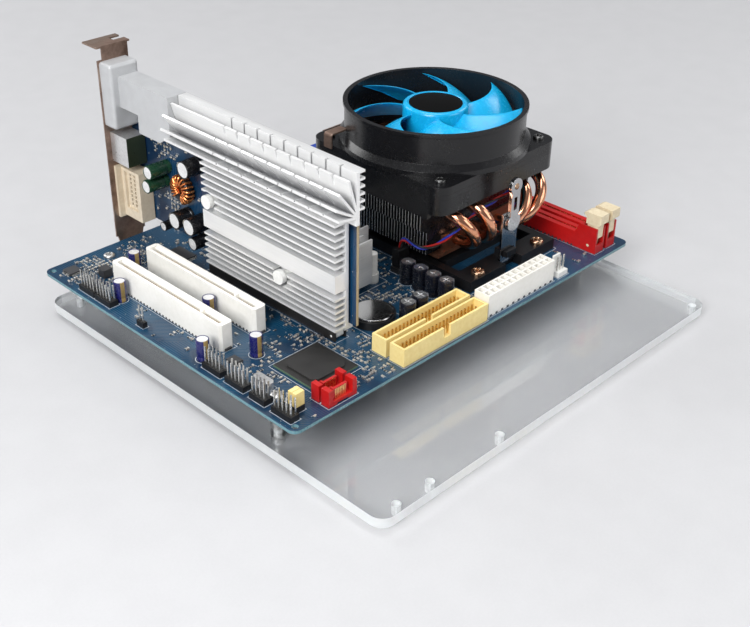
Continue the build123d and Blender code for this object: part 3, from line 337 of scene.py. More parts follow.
def lift(tree, shader, height, strength, distance=0.0002):
    """Raises the skin by a height, over edges that are eased by a small radius."""
    edge_radius = 0.00022
    eased = add_node(tree, "ShaderNodeBevel", {"samples": 4}, {"Radius": edge_radius}).outputs["Normal"]
    sockets = {"Height": height, "Strength": strength, "Distance": distance, "Normal": eased}
    bump = add_node(tree, "ShaderNodeBump", sockets=sockets)
    set_sockets(tree, shader, {"Normal": bump.outputs["Normal"]})


def facing(tree, axis):
    """How squarely the surface looks along an axis: the size of that part of its normal."""
    normal = add_node(tree, "ShaderNodeNewGeometry").outputs["True Normal"]
    return math_node(tree, "ABSOLUTE", part_of(tree, normal, axis))


def edge_on(tree, axis):
    """One where the surface looks mostly away from an axis."""
    return math_node(tree, "LESS_THAN", facing(tree, axis), 0.5)


def face_on(tree, axis):
    """One where the surface looks along an axis."""
    return math_node(tree, "GREATER_THAN", facing(tree, axis), 0.8)


def below(tree, axis, limit):
    """One where the place along an axis is less than a limit in metres."""
    return math_node(tree, "LESS_THAN", part_of(tree, place(tree), axis), limit)


def gaps(tree, reach):
    """How open a place is, from nothing deep in a gap of the piece to one on a free face."""
    settings = {"samples": 4, "only_local": True}
    return add_node(tree, "ShaderNodeAmbientOcclusion", settings, {"Distance": reach}).outputs["AO"]


def tint(material, share, colour):
    """Paints a share of a material's surface, worked out by share(tree), in another colour."""
    tree = material.node_tree
    base = tree.nodes["Principled BSDF"].inputs["Base Color"]
    tree.links.new(mix_colour(tree, share(tree), base.links[0].from_socket, colour), base)


# Kinds of finish
def finish(name, colour, shade, rough, metallic=0.0, stretch=(1, 1, 1), scale=900.0, bump=0.15,
           **constants):
    """A slow and a fine noise mix two shades, vary the gloss and lift the skin."""
    slow_share, shade_stop, colour_stop, gloss_span = 0.06, 0.36, 0.62, (0.35, 0.65)
    material, tree, shader = new_material(name)
    where = place(tree, stretch)
    fine, slow = noise(tree, where, scale), noise(tree, where, scale * slow_share, 2.0)
    both = math_node(tree, "MULTIPLY_ADD", fine, 0.5, math_node(tree, "MULTIPLY", slow, 0.5))
    set_sockets(tree, shader, {"Base Color": ramp(tree, both, [(shade_stop, shade), (colour_stop, colour)]),
                               "Roughness": remap(tree, both, *gloss_span, *rough), "Metallic": metallic})
    lift(tree, shader, fine, bump)
    set_sockets(tree, shader, {key.replace("_", " "): value for key, value in constants.items()})
    return material


def plastic(name, colour, shade, rough=(0.32, 0.45), bump=0.06):
    """Moulded plastic with a soft coarse grain."""
    return finish(name, colour, shade, rough, scale=500.0, bump=bump)


def metal(name, colour, shade, rough=(0.2, 0.36), bump=0.05):
    """Bare or plated metal."""
    return finish(name, colour, shade, rough, 1.0, bump=bump)


def wire_film(name, colour, shade):
    """Soft insulation of a thin wire."""
    return finish(name, colour, shade, (0.32, 0.45), bump=0.04)


def chip_case(name, colour, shade, rough, bump):
    """Moulded chip body with a fine hard grain."""
    return finish(name, colour, shade, rough, scale=2600.0, bump=bump)


def ceramic(name, colour, shade):
    """Fired body of a small part."""
    return finish(name, colour, shade, (0.4, 0.55), scale=2400.0, bump=0.1)


def solder_mask(name, base, trace, direction, coat):
    """Board lacquer: patches of parallel tracks, each with its own direction, dotted with plated holes."""
    patch_scale, field_scale, pour_scale, dot_scale, dot_field_scale = 55.0, 70.0, 28.0, 330.0, 90.0
    across_share, slant_share, track_rate = 0.45, 0.75, 5200.0
    pour_strength, track_strength, plated_colour = 0.45, 0.75, (0.55, 0.58, 0.55)
    material, tree, shader = new_material(name)
    where = place(tree, direction)
    x, y = part_of(tree, where, "X"), part_of(tree, where, "Y")
    patches = add_node(tree, "ShaderNodeTexVoronoi", {"distance": "MANHATTAN"},
                       {"Vector": where, "Scale": patch_scale})
    split = add_node(tree, "ShaderNodeSeparateColor", sockets={"Color": patches.outputs["Color"]})
    chosen = split.outputs["Red"]
    slant = math_node(tree, "MULTIPLY", math_node(tree, "ADD", x, y), 0.7071)
    line = choose(tree, math_node(tree, "GREATER_THAN", chosen, across_share), x, y)
    line = choose(tree, math_node(tree, "GREATER_THAN", chosen, slant_share), line, slant)
    wave = math_node(tree, "SINE", math_node(tree, "MULTIPLY", line, track_rate))
    field = remap(tree, noise(tree, where, field_scale, 2.0), 0.42, 0.5)
    track = math_node(tree, "MULTIPLY", remap(tree, wave, 0.1, 0.5), field)
    pour = remap(tree, noise(tree, where, pour_scale, 1.0), 0.47, 0.5)
    colour = mix_colour(tree, math_node(tree, "MULTIPLY", pour, pour_strength), base, trace)
    colour = mix_colour(tree, math_node(tree, "MULTIPLY", track, track_strength), colour, trace)
    dots = add_node(tree, "ShaderNodeTexVoronoi", sockets={"Vector": where, "Scale": dot_scale})
    dot_field = remap(tree, noise(tree, where, dot_field_scale, 1.0), 0.5, 0.52)
    hole = remap(tree, dots.outputs["Distance"], 0.09, 0.06)
    colour = mix_colour(tree, math_node(tree, "MULTIPLY", hole, dot_field), colour, plated_colour)
    set_sockets(tree, shader, {"Base Color": colour, "Roughness": remap(tree, track, 0.0, 1.0, 0.3, 0.22),
                               "Coat Weight": coat, "Coat Roughness": 0.15})
    lift(tree, shader, track, 0.25, 0.00005)
    return material


def stained_steel(name):
    """Yellow-plated sheet with brown stains and worn bright patches."""
    material, tree, shader = new_material(name)
    stain = noise(tree, place(tree), 60.0, 6.0, 0.65)
    grain = noise(tree, place(tree, (1, 1, 0.08)), 2500.0)
    colour = ramp(tree, stain, [(0.30, (0.08, 0.045, 0.03)), (0.46, (0.24, 0.16, 0.125)),
                                (0.60, (0.38, 0.28, 0.225)), (0.78, (0.54, 0.46, 0.40))])
    set_sockets(tree, shader, {"Base Color": colour, "Roughness": remap(tree, stain, 0.3, 0.7, 0.62, 0.34),
                               "Metallic": remap(tree, stain, 0.35, 0.55, 0.35, 0.9)})
    lift(tree, shader, grain, 0.12)
    return material


def clear_acrylic(name, holes, radius):
    """Clear cast sheet with frosted edges and hole walls, found by the distance to the nearest hole."""
    hole_frost, face_gloss, edge_frost = 0.55, 0.015, 0.32
    edge_clear, face_alpha, frosted = 0.45, 0.45, 0.3
    material, tree, shader = new_material(name)
    where = place(tree)
    flat = vector_node(tree, "MULTIPLY", where, (1, 1, 0), 0)
    nearest = None
    for x, y in holes:
        far = vector_node(tree, "DISTANCE", flat, (x, y, 0), 1)
        nearest = far if nearest is None else math_node(tree, "MINIMUM", nearest, far)
    frost = remap(tree, nearest, radius * 1.02, radius * 1.12, hole_frost, face_gloss)
    side = edge_on(tree, "Z")
    frost = math_node(tree, "MAXIMUM", frost, math_node(tree, "MULTIPLY", side, edge_frost))
    dense = math_node(tree, "MAXIMUM", frost, frosted)
    scuff = noise(tree, where, 120.0, 4.0)
    smear = remap(tree, scuff, 0.5, 0.75, 0.0, 0.06)
    colour = ramp(tree, scuff, [(0.3, (0.93, 0.965, 0.975)), (0.7, (0.97, 0.985, 0.99))])
    set_sockets(tree, shader, {"Base Color": colour, "Roughness": math_node(tree, "ADD", frost, smear),
                               "Transmission Weight": remap(tree, side, 0.0, 1.0, 1.0, edge_clear),
                               "Alpha": remap(tree, dense, frosted, frosted + 0.01, face_alpha, 1.0),
                               "IOR": 1.49})
    return material


def sleeve(name, colour, stripe, low, high):
    """Shrunk film round a can with a light stripe between two shares of the turn, read from the wrap map."""
    material, tree, shader = new_material(name)
    turn = part_of(tree, place(tree, output="UV"), "X")
    inside = math_node(tree, "MULTIPLY", math_node(tree, "GREATER_THAN", turn, low),
                       math_node(tree, "LESS_THAN", turn, high))
    mottle = noise(tree, place(tree), 700.0)
    stripe = mix_colour(tree, mottle, stripe, tuple(0.55 * c for c in stripe))
    film = mix_colour(tree, mottle, colour, tuple(0.7 * c for c in colour))
    set_sockets(tree, shader, {"Base Color": mix_colour(tree, inside, film, stripe),
                               "Roughness": remap(tree, mottle, 0.3, 0.7, 0.2, 0.34)})
    lift(tree, shader, mottle, 0.05)
    return material


# Plate and boards
HOLES_X = (12.70, 33.02, 78.74, 236.22)
HOLES_Y = (-46.99, 25.40, 180.34)
HOLE_RADIUS = 2.0
plate_holes = [(board_low.x + x * MM, board_low.y + y * MM) for x in HOLES_X for y in HOLES_Y]
acrylic = clear_acrylic("clear_acrylic", plate_holes, HOLE_RADIUS * MM)
board_blue = solder_mask("board_blue", (0.004, 0.026, 0.062), (0.009, 0.072, 0.145), (1, 1, 1), 0.3)
card_blue = solder_mask("card_blue", (0.004, 0.020, 0.056), (0.008, 0.052, 0.118), (0, 1, 1), 0.08)
tint(board_blue, lambda tree: edge_on(tree, "Z"), (0.10, 0.23, 0.27))
tint(card_blue, lambda tree: edge_on(tree, "X"), (0.42, 0.33, 0.20))
ink = finish("board_print", (0.74, 0.76, 0.78), (0.56, 0.59, 0.62), (0.5, 0.65), scale=1500.0, bump=0.05)

# Plastics
ivory = plastic("ivory_plastic", (0.92, 0.90, 0.85), (0.86, 0.84, 0.78), (0.34, 0.46))
cream = plastic("cream_plastic", (0.80, 0.70, 0.50), (0.68, 0.57, 0.38), (0.32, 0.46))
port_ivory = plastic("port_ivory", (0.76, 0.67, 0.53), (0.65, 0.55, 0.41), (0.32, 0.46), 0.05)
red = plastic("red_plastic", (0.52, 0.008, 0.007), (0.42, 0.006, 0.006), (0.3, 0.42), 0.05)
yellow = plastic("yellow_plastic", (0.90, 0.73, 0.32), (0.82, 0.63, 0.24))
white = plastic("white_plastic", (0.86, 0.86, 0.84), (0.76, 0.76, 0.73))
blue_shell = plastic("blue_plastic", (0.02, 0.07, 0.42), (0.015, 0.05, 0.33))
pink = plastic("pink_plastic", (0.80, 0.25, 0.32), (0.66, 0.18, 0.25))
lime = plastic("green_plastic", (0.25, 0.60, 0.16), (0.18, 0.46, 0.11))
sky = plastic("sky_plastic", (0.16, 0.42, 0.75), (0.11, 0.32, 0.62))
violet = plastic("violet_plastic", (0.30, 0.14, 0.50), (0.22, 0.10, 0.38))
dark_slot = finish("brown_plastic", (0.016, 0.014, 0.013), (0.010, 0.009, 0.009), (0.35, 0.5), bump=0.06)
black = finish("black_plastic", (0.011, 0.011, 0.012), (0.006, 0.006, 0.007), (0.3, 0.42), bump=0.06,
               Specular_IOR_Level=0.35)
fan_black = finish("fan_black", (0.009, 0.009, 0.010), (0.006, 0.006, 0.007), (0.2, 0.3), scale=700.0,
                   bump=0.03, Specular_IOR_Level=0.4)
fan_blue = finish("fan_blue", (0.005, 0.41, 0.74), (0.004, 0.34, 0.65), (0.2, 0.3), scale=400.0, bump=0.015,
                  Subsurface_Weight=0.1, Subsurface_Scale=0.002)
# Black of the hub label, also used for the painted shade in socket pin holes and in the digital port's
# pockets.
label_and_shade_black = finish("label_and_shade_black", (0.002, 0.002, 0.002), (0.001, 0.001, 0.001), (0.4, 0.5), bump=0.02,
                     Specular_IOR_Level=0.08)
header_finish = plastic("header_plastic", (0.86, 0.86, 0.84), (0.76, 0.76, 0.73))
BLACK_HEADER_END = board_low.x + 150.0 * MM
tint(header_finish, lambda tree: below(tree, "X", BLACK_HEADER_END), (0.02, 0.02, 0.022))

# Chips, small parts, wires and sleeves
chip_black = chip_case("chip_black", (0.045, 0.046, 0.05), (0.03, 0.03, 0.033), (0.42, 0.58), 0.25)
south_finish = chip_case("south_chip", (0.026, 0.025, 0.024), (0.017, 0.016, 0.016), (0.36, 0.5), 0.15)
SOUTH_CARRIER_TOP = board_high.z + 1.09 * MM
tint(south_finish, lambda tree: below(tree, "Z", SOUTH_CARRIER_TOP), (0.10, 0.16, 0.10))
ceramic_tan = ceramic("ceramic_tan", (0.52, 0.48, 0.42), (0.36, 0.32, 0.27))
ceramic_grey = ceramic("ceramic_grey", (0.30, 0.28, 0.26), (0.20, 0.18, 0.17))
red_wire = wire_film("red_wire", (0.55, 0.015, 0.012), (0.40, 0.010, 0.010))
blue_wire = wire_film("blue_wire", (0.02, 0.05, 0.50), (0.015, 0.03, 0.36))
black_wire = wire_film("black_wire", (0.02, 0.02, 0.02), (0.012, 0.012, 0.012))
blue_sleeve = sleeve("blue_sleeve", (0.014, 0.016, 0.13), (0.36, 0.25, 0.09), 0.67, 0.79)
dark_sleeve = sleeve("dark_sleeve", (0.007, 0.008, 0.015), (0.15, 0.155, 0.17), 0.80, 0.92)
black_sleeve = sleeve("black_sleeve", (0.007, 0.007, 0.008), (0.30, 0.28, 0.24), 0.10, 0.22)
green_sleeve = sleeve("green_sleeve", (0.013, 0.056, 0.028), (0.27, 0.24, 0.10), 0.10, 0.20)

# Metals
zinc = metal("zinc", (0.62, 0.62, 0.61), (0.42, 0.42, 0.42), (0.22, 0.4), 0.15)
bronze = stained_steel("bronze_sheet")
bronze_screw = metal("bronze_screw", (0.72, 0.52, 0.36), (0.36, 0.22, 0.14), (0.2, 0.4), 0.15)
black_screw = metal("black_screw", (0.14, 0.14, 0.14), (0.07, 0.07, 0.07), (0.2, 0.34))
chrome = metal("chrome", (0.58, 0.58, 0.59), (0.42, 0.42, 0.43), (0.06, 0.16), 0.03)
gold = metal("gold_plate", (0.86, 0.62, 0.26), (0.66, 0.44, 0.16))
silver_pin = metal("tinned_pin", (0.82, 0.81, 0.78), (0.60, 0.59, 0.56))
can_silver = metal("can_silver", (0.80, 0.80, 0.80), (0.62, 0.62, 0.62), (0.26, 0.42))
cell_steel = metal("cell_steel", (0.55, 0.55, 0.55), (0.45, 0.45, 0.45), (0.1, 0.2), 0.03)
lid_silver = finish("lid_silver", (0.93, 0.93, 0.93), (0.80, 0.80, 0.80), (0.34, 0.48), 0.5, bump=0.04)
cover_silver = finish("cover_silver", (0.52, 0.53, 0.54), (0.47, 0.475, 0.485), (0.36, 0.46), 0.15,
                      scale=3200.0, bump=0.05)
copper = finish("copper", (0.30, 0.14, 0.085), (0.17, 0.075, 0.045), (0.42, 0.58), 0.8, scale=420.0,
                bump=0.05)
pipe_copper = finish("pipe_copper", (0.88, 0.44, 0.28), (0.74, 0.33, 0.19), (0.12, 0.2), 1.0, scale=300.0,
                     bump=0.012)
wound = finish("lacquered_wire", (0.88, 0.34, 0.12), (0.66, 0.20, 0.06), (0.16, 0.28), 0.9, bump=0.03)
sink_grey = finish("heatsink_grey", (0.90, 0.90, 0.90), (0.77, 0.775, 0.78), (0.34, 0.48), 0.55,
                   stretch=(0.04, 1.0, 1.0), scale=2200.0, bump=0.08)
sink_silver = finish("heatsink_silver", (0.97, 0.97, 0.965), (0.90, 0.90, 0.895), (0.34, 0.48), 0.55,
                     stretch=(1.0, 0.03, 1.0), scale=2200.0, bump=0.06)
# Painted shade: the card heatsink is darkened in the gaps between its fins, where shade falls.
tint(sink_silver, lambda tree: remap(tree, gaps(tree, 0.005), 0.08, 0.5, 0.55, 0.0), (0.09, 0.10, 0.13))
fin_black = finish("black_nickel", (0.05, 0.05, 0.054), (0.025, 0.025, 0.028), (0.22, 0.36), 0.85, bump=0.06)
# Painted highlight: the fins' edges that look along X are painted light grey, where they catch the light.
tint(fin_black, lambda tree: face_on(tree, "X"), (0.62, 0.63, 0.64))
port_shell = finish("port_shell", (0.80, 0.80, 0.80), (0.62, 0.62, 0.62), (0.26, 0.42), 0.8, bump=0.05)
REAR_FACES = board_low.y + 190.0 * MM
tint(port_shell, lambda tree: math_node(tree, "MULTIPLY", below(tree, "Y", REAR_FACES), face_on(tree, "Y")),
     (0.09, 0.12, 0.075))

NODE_FINISH = {
    "base_plate": acrylic, "standoffs": zinc, "plate_screws": zinc, "board_screws": zinc,
    "main_board": board_blue, "expansion_slots": ivory, "graphics_slot": dark_slot, "slot_latch": white,
    "memory_slots": red, "power_sockets": ivory, "fan_headers": header_finish, "fan_plug": black,
    "drive_headers": yellow, "drive_pins": gold, "serial_ports": red, "south_chip": south_finish,
    "chips": chip_black, "north_heatsink": sink_grey, "header_bases": black, "header_pins": silver_pin,
    "jumper_caps": yellow, "crystal_can": can_silver, "board_capacitors": blue_sleeve,
    "supply_capacitors": dark_sleeve, "cell_holder": black, "coin_cell": cell_steel,
    "processor_socket": black, "processor": zinc, "socket_lever": zinc, "retention_frame": black,
    "cooler_base": copper, "heat_pipes": pipe_copper, "cooler_fins": fin_black, "fan_shroud": fan_black,
    "fan_frame": fan_black, "cooler_screws": bronze_screw, "fan_stator": black, "fan_rotor": fan_blue,
    "clip_strap": chrome, "clip_lever": chrome, "fan_bracket": bronze, "fan_lead": red_wire,
    "card_board": card_blue, "card_heatsink": sink_silver, "push_pins": white, "card_bracket": bronze,
    "digital_port": port_ivory, "signal_ports": port_shell, "card_cover": cover_silver,
    "card_capacitors": black_sleeve, "choke": black, "audio_jacks": black, "metal_ports": can_silver,
    "screen_port": blue_shell, "keyboard_ports": black, "memory_latch_1_front": cream,
    "memory_latch_1_rear": cream, "memory_latch_2_front": cream, "memory_latch_2_rear": cream,
}
for node, material in NODE_FINISH.items():
    frame["nodes"][node].data.materials.clear()
    frame["nodes"][node].data.materials.append(material)


# Fan lead: three wires wound round one smooth line
LEAD_ROUTE = [(208.0, 45.5, 49.5), (208.0, 45.5, 45.5), (207.0, 46.0, 38.0), (203.5, 46.8, 31.5),
              (195.0, 47.0, 29.0), (178.5, 47.0, 28.2), (165.0, 47.0, 25.0), (152.0, 47.0, 21.0),
              (142.0, 47.5, 18.0), (133.8, 50.5, 17.0), (131.6, 56.5, 18.5), (131.5, 61.3, 19.5),
              (131.6, 64.3, 17.4), (131.6, 64.3, 13.8)]


def spline_points(route):
    """Points read from the smooth spline that has the route's points as its control points."""
    curve = bpy.data.curves.new("lead_route", "CURVE")
    curve.dimensions = "3D"
    curve.resolution_u = 10
    spline = curve.splines.new("NURBS")
    spline.points.add(len(route) - 1)
    for point, where in zip(spline.points, route):
        point.co = (*where, 1.0)
    spline.order_u = 3
    spline.use_endpoint_u = True
    holder = bpy.data.objects.new("lead_route", curve)
    line = bpy.data.meshes.new_from_object(holder)
    points = np.array([v.co for v in line.vertices])
    bpy.data.objects.remove(holder)
    bpy.data.curves.remove(curve)
    bpy.data.meshes.remove(line)
    return points


def fan_lead():
    """Each wire is a helix of small radius about the route's spline, a third of a turn from the next."""
    wire_radius, wind_radius, lay_length, around = 0.55, 0.64, 26.0, 36
    points = spline_points(LEAD_ROUTE)
    ring = tube(points, wind_radius, around)[0].reshape(len(points), around, 3)
    run = np.concatenate([[0], np.cumsum(np.linalg.norm(np.diff(points, axis=0), axis=1))])

    def strand(number):
        """One wire, started at its own share of the turn."""
        turn = np.round(around * (run / lay_length + number / 3)).astype(int) % around
        return tube(ring[np.arange(len(points)), turn], wire_radius)

    add_piece("lead_red", strand(0), red_wire, stands_for=["fan_lead"])
    add_piece("lead_blue", strand(1), blue_wire)
    add_piece("lead_black", strand(2), black_wire)


fan_lead()


# Electrolytic cans
CAN_SIDES = 40


def can_film(radius, height):
    """A turned film of (share of radius, level) points with a crimp groove and a rolled rim."""
    groove = 0.2 * height
    profile = [(0.86, 0.0), (0.97, 0.08), (1.0, 0.4), (1.0, groove - 0.5), (0.94, groove - 0.15),
               (0.94, groove + 0.15), (1.0, groove + 0.5), (1.0, height - 0.35), (0.975, height - 0.1),
               (0.92, height), (0.86, height - 0.02), (0.84, height - 0.25)]
    return lathe([(share * radius, level) for share, level in profile], CAN_SIDES)


def can_lid(radius, height):
    """A sunk disc whose height drops along a scored cross."""
    rings, rim, sunk, score_depth, score_half, score_reach = 15, 0.85, 0.2, 0.18, 0.05, 0.62
    r = np.linspace(rim, 0.0, rings)[:, None] * radius
    angle = np.linspace(0, TURN, CAN_SIDES, endpoint=False)
    x, y = r * np.cos(angle), r * np.sin(angle)
    narrow, wide = np.minimum(abs(x), abs(y)), np.maximum(abs(x), abs(y))
    scored = (narrow < score_half * radius) & (wide < score_reach * radius)
    points = np.stack([x, y, height - sunk - score_depth * scored], -1).reshape(-1, 3)
    return points, quads(rings, CAN_SIDES, close_columns=True)


def add_cans(name, boxes, axis, film, stands_for=(), lid=lid_silver):
    """Films and lids of cans in boxes, standing along Z (axis 2) or lying along -X on the card (axis 0)."""
    lie_down = np.array([(0, 0, 1), (0, 1, 0), (-1, 0, 0)])
    films, lids, wraps = [], [], []
    for low, high in boxes:
        radius, height = (high[1] - low[1]) / 2, high[axis] - low[axis]
        (points, faces), (lid_points, lid_faces) = can_film(radius, height), can_lid(radius, height)
        foot = (low + high) / 2
        foot[axis] = low[axis]
        if axis == 0:
            points, lid_points = points @ lie_down, lid_points @ lie_down
            foot[0] = high[0]
        films.append((points + foot, faces))
        lids.append((lid_points + foot, lid_faces))
        column = faces % CAN_SIDES
        column[:, 1:3] = column[:, :1] + 1
        wraps.append(np.stack([column / CAN_SIDES, np.zeros(column.shape)], -1))
    add_piece(name + "_sleeves", gather(*films), film, uv=np.concatenate(wraps), stands_for=stands_for)
    add_piece(name + "_lids", gather(*lids), lid)


GREEN_CANS_BEHIND, GREEN_CANS_ABOVE = 155, 30
card_cans = solids("card_capacitors")
green = (card_cans[:, 0, 1] > GREEN_CANS_BEHIND) & (card_cans[:, 0, 2] > GREEN_CANS_ABOVE)
add_cans("board_cans", solids("board_capacitors"), 2, blue_sleeve, ["board_capacitors"])
add_cans("supply_cans", solids("supply_capacitors"), 2, dark_sleeve, ["supply_capacitors"],
         can_silver)
add_cans("card_cans", card_cans[~green], 0, black_sleeve, ["card_capacitors"])
add_cans("green_cans", card_cans[green], 0, green_sleeve)


# Fan rotor
def fan_blades(count, hub_radius, tip, level):
    """Blades are lens sections wound round the axis: the radius grows along the span, and with it the chord
    widens, the pitch flattens and the section swings forward."""
    span_steps, round_steps, sunk = 30, 28, 0.8
    root_chord, chord_gain, root_pitch, pitch_loss, sweep = 17.0, 14.0, 40, 12, 34
    thick, thick_loss, camber, tip_round = 0.85, 0.2, 1.3, 0.03
    share = np.linspace(0, 1, span_steps)[:, None]
    around = np.linspace(0, TURN, round_steps, endpoint=False)[None, :]
    radius = hub_radius - sunk + share * (tip - hub_radius + sunk)
    chord, pitch = root_chord + chord_gain * share, np.radians(root_pitch - pitch_loss * share)
    along = chord / 2 * np.sign(np.cos(around)) * abs(np.cos(around)) ** 0.8
    round_off = np.clip((1 - share) / tip_round, 0.15, 1) ** 0.5
    bulge = camber * (1 - (2 * along / chord) ** 2) * share
    across = (thick - thick_loss * share) * round_off * np.sin(around) + bulge
    swing = np.radians(sweep) * share ** 1.3 + (along * np.cos(pitch) - across * np.sin(pitch)) / radius
    z = level + along * np.sin(pitch) + across * np.cos(pitch)
    blades = []
    for number in range(count):
        angle = swing + number * TURN / count
        points = np.stack([radius * np.cos(angle), radius * np.sin(angle), z], -1)
        closing = np.repeat(points[-1].mean(0, keepdims=True), round_steps, 0)
        points = np.concatenate([points.reshape(-1, 3), closing])
        blades.append((points, quads(span_steps + 1, round_steps, close_columns=True)))
    return gather(*blades)


def fan_rotor():
    """Seven blades on a hub that is a turned cup with a shaft and a sunk label."""
    hub_radius, hub_height, wall, roof, shaft_radius = 17.0, 20.5, 1.6, 2.2, 1.5
    label_radius, blade_drop = 13.9, 8.1
    spin = next(joint for joint in frame["joints"] if joint["name"] == "fan_spin")
    centre = ((np.array(spin["pos_m"]) - HOME) / MM)[:2]
    low, high = node_box("fan_rotor")
    top = high[2]
    tip = max(*(high[:2] - centre), *(centre - low[:2]))
    cup = [(0, top - roof), (hub_radius - wall, top - roof), (hub_radius - wall, top - hub_height),
           (hub_radius, top - hub_height), (hub_radius, top - 1.8), (hub_radius - 0.25, top - 0.9),
           (hub_radius - 0.8, top - 0.3), (hub_radius - 1.7, top), (hub_radius - 2.4, top),
           (hub_radius - 2.7, top - 0.35), (0, top - 0.35)]
    shaft_top = top - roof + 0.1
    shaft = [(0, low[2]), (shaft_radius, low[2]), (shaft_radius, shaft_top), (0, shaft_top)]
    blades = fan_blades(7, hub_radius, tip, top - blade_drop)
    points, faces = gather(blades, lathe(cup, 72), lathe(shaft, 24))
    spot = np.append(centre, 0)
    add_piece("rotor", (points + spot, faces), fan_blue, "fan_rotor", stands_for=["fan_rotor"])
    label = [(0, top - 0.36), (label_radius, top - 0.36), (label_radius, top - 0.16),
             (label_radius - 0.2, top - 0.1), (0, top - 0.1)]
    points, faces = lathe(label, 64)
    add_piece("hub_label", (points + spot, faces), label_and_shade_black, "fan_rotor")


fan_rotor()


# Choke winding
def choke_winding():
    """A wire round the ring core: a squared loop makes many turns while it goes most of the way round."""
    wire, turns, turn_steps, start, end, square = 0.6, 16, 22, -60, 250, 0.7
    boxes = solids("choke")
    low, high = boxes[np.argmax((boxes[:, 1] - boxes[:, 0]).prod(1))]
    centre, half = (low + high) / 2, (high - low) / 2
    minor = half[0]
    major = half[1] - minor
    major_angle = np.linspace(math.radians(start), math.radians(end), turns * turn_steps)
    minor_angle = turns * np.linspace(0, TURN, turns * turn_steps)
    across, outward = [np.sign(v) * abs(v) ** square * (minor + wire)
                       for v in (np.sin(minor_angle), np.cos(minor_angle))]
    reach = major + outward
    path = np.stack([across, reach * np.cos(major_angle), reach * np.sin(major_angle)], -1)
    add_piece("choke_winding", tube(centre + path, wire, 10), wound)


choke_winding()


# Cross-head screws
SHANK_RADIUS = 1.5
FAN_HEAD = 2.0


def cross_heads(name, boxes, head, material, stands_for=()):
    """A turned shank and seat, closed by a domed head whose height drops inside a cross."""
    sides, cross_half, cross_slope, cross_reach, cross_depth = 48, 0.17, 0.05, 0.16, 0.62
    shapes = []
    for low, high in boxes:
        radius = (high[0] - low[0]) / 2
        seat = high[2] - head
        stem = lathe([(0, low[2]), (SHANK_RADIUS, low[2]), (SHANK_RADIUS, seat), (radius, seat),
                      (radius, seat + 0.5 * head)], sides)
        r = np.concatenate([np.linspace(1, 0.9, 3), np.linspace(0.86, 0, 24)])[:, None] * radius
        angle = np.linspace(0, TURN, sides, endpoint=False)
        x, y = r * np.cos(angle), r * np.sin(angle)
        narrow, wide = np.minimum(abs(x), abs(y)), np.maximum(abs(x), abs(y))
        sunk = np.clip((cross_half * radius - narrow) / (cross_slope * radius), 0, 1)
        sunk = sunk * np.clip(4 - wide / (cross_reach * radius), 0, 1)
        z = seat + 0.5 * head + 0.5 * head * np.sqrt(1 - (r / radius) ** 2) - cross_depth * head * sunk
        crown = np.stack([x, y, z], -1).reshape(-1, 3), quads(len(r), sides, close_columns=True)
        points, faces = gather(stem, crown)
        shapes.append((points + np.append((low + high)[:2] / 2, 0), faces))
    add_piece(name, gather(*shapes), material, stands_for=stands_for)


FRAME_SCREWS_BELOW = 20
cooler_boxes = solids("cooler_screws")
frame_screw = cooler_boxes[:, 0, 2] < FRAME_SCREWS_BELOW
fan_screws = cooler_boxes[~frame_screw]
cross_heads("board_screw_heads", solids("board_screws"), 1.6, zinc, ["board_screws"])
cross_heads("frame_screw_heads", cooler_boxes[frame_screw], 2.2, bronze_screw,
            ["cooler_screws"])
cross_heads("fan_screw_heads", fan_screws, FAN_HEAD, black_screw)


# Fan clip and shroud skirts
def fan_clip():
    """A strip from the fan's plate over to its ring: a rise, a quarter circle and a run."""
    rise, run, bend, thick, near, far, inset_x = 8.0, 11.4, 1.7, 0.8, 107.6, 113.2, 0.3
    lines = []
    for inset in (0.0, thick):
        corner = arc((bend, rise - bend), bend - inset, 180, 90)
        lines.append(np.concatenate([[(inset, 0)], corner, [(run, rise - inset)]]))
    points, faces = sheet_strip(*lines, -far, -near)
    seat = fan_screws[:, 1, 2].max() - FAN_HEAD
    left = node_box("fan_frame")[0][0] + inset_x
    points = np.stack([points[:, 0] + left, -points[:, 2], points[:, 1] + seat], -1)
    add_piece("fan_clip", (points, faces), bronze)


def shroud_skirts():
    """Walls under both ends of the shroud's plate: a straight run between two quarter circles, turned half
    round for the rear end."""
    corner, wall, plate, air = 8.0, 1.6, 2.5, 1.0
    low, high = node_box("fan_shroud")
    half = (high - low)[:2] / 2
    lines = []
    for inset in (0.0, wall):
        left = arc(corner - half, corner - inset, 180, 270)
        right = arc((half[0] - corner, corner - half[1]), corner - inset, 270, 360)
        lines.append(np.concatenate([left, right]))
    points, faces = sheet_strip(*lines, node_box("cooler_fins")[1][2] + air, high[2] - plate)
    middle = np.append((low + high)[:2] / 2, 0)
    both = gather((middle + points, faces), (middle + points * (-1, -1, 1), faces))
    add_piece("shroud_skirts", both, fan_black)


fan_clip()
shroud_skirts()


# Small parts on the boards; a crowd is a centre, a spread and a weight
BOARD_CROWDS = [(40, 30, 16, 0.5), (12, 172, 16, 0.7), (35, 172, 14, 0.5), (97, 84, 26, 0.5),
                (80, 45, 22, 0.5), (115, 100, 30, 0.35), (60, 20, 14, 0.45), (205, 60, 22, 0.35),
                (160, 140, 26, 0.35), (120, 20, 20, 0.4), (20, 45, 12, 0.35), (205, 120, 20, 0.3),
                (55, 150, 22, 0.5), (20, 100, 12, 0.2)]
CARD_FACE_CROWDS = [(158, 32, 7, 1.3), (135, 62, 9, 0.5), (168, 58, 8, 0.6), (140, 20, 8, 0.3),
                    (182, 22, 6, 0.5)]
CARD_BACK_CROWDS = [(82, 38, 24, 0.75), (150, 40, 22, 0.4), (40, 45, 14, 0.3)]
TAN_SIZE, DARK_SIZE, TALL_SIZE = (1.7, 0.85, 0.8), (1.7, 0.85, 0.5), (2.0, 1.3, 1.1)
PRINT_HEIGHT, PRINT_EDGE = 0.03, 0.01


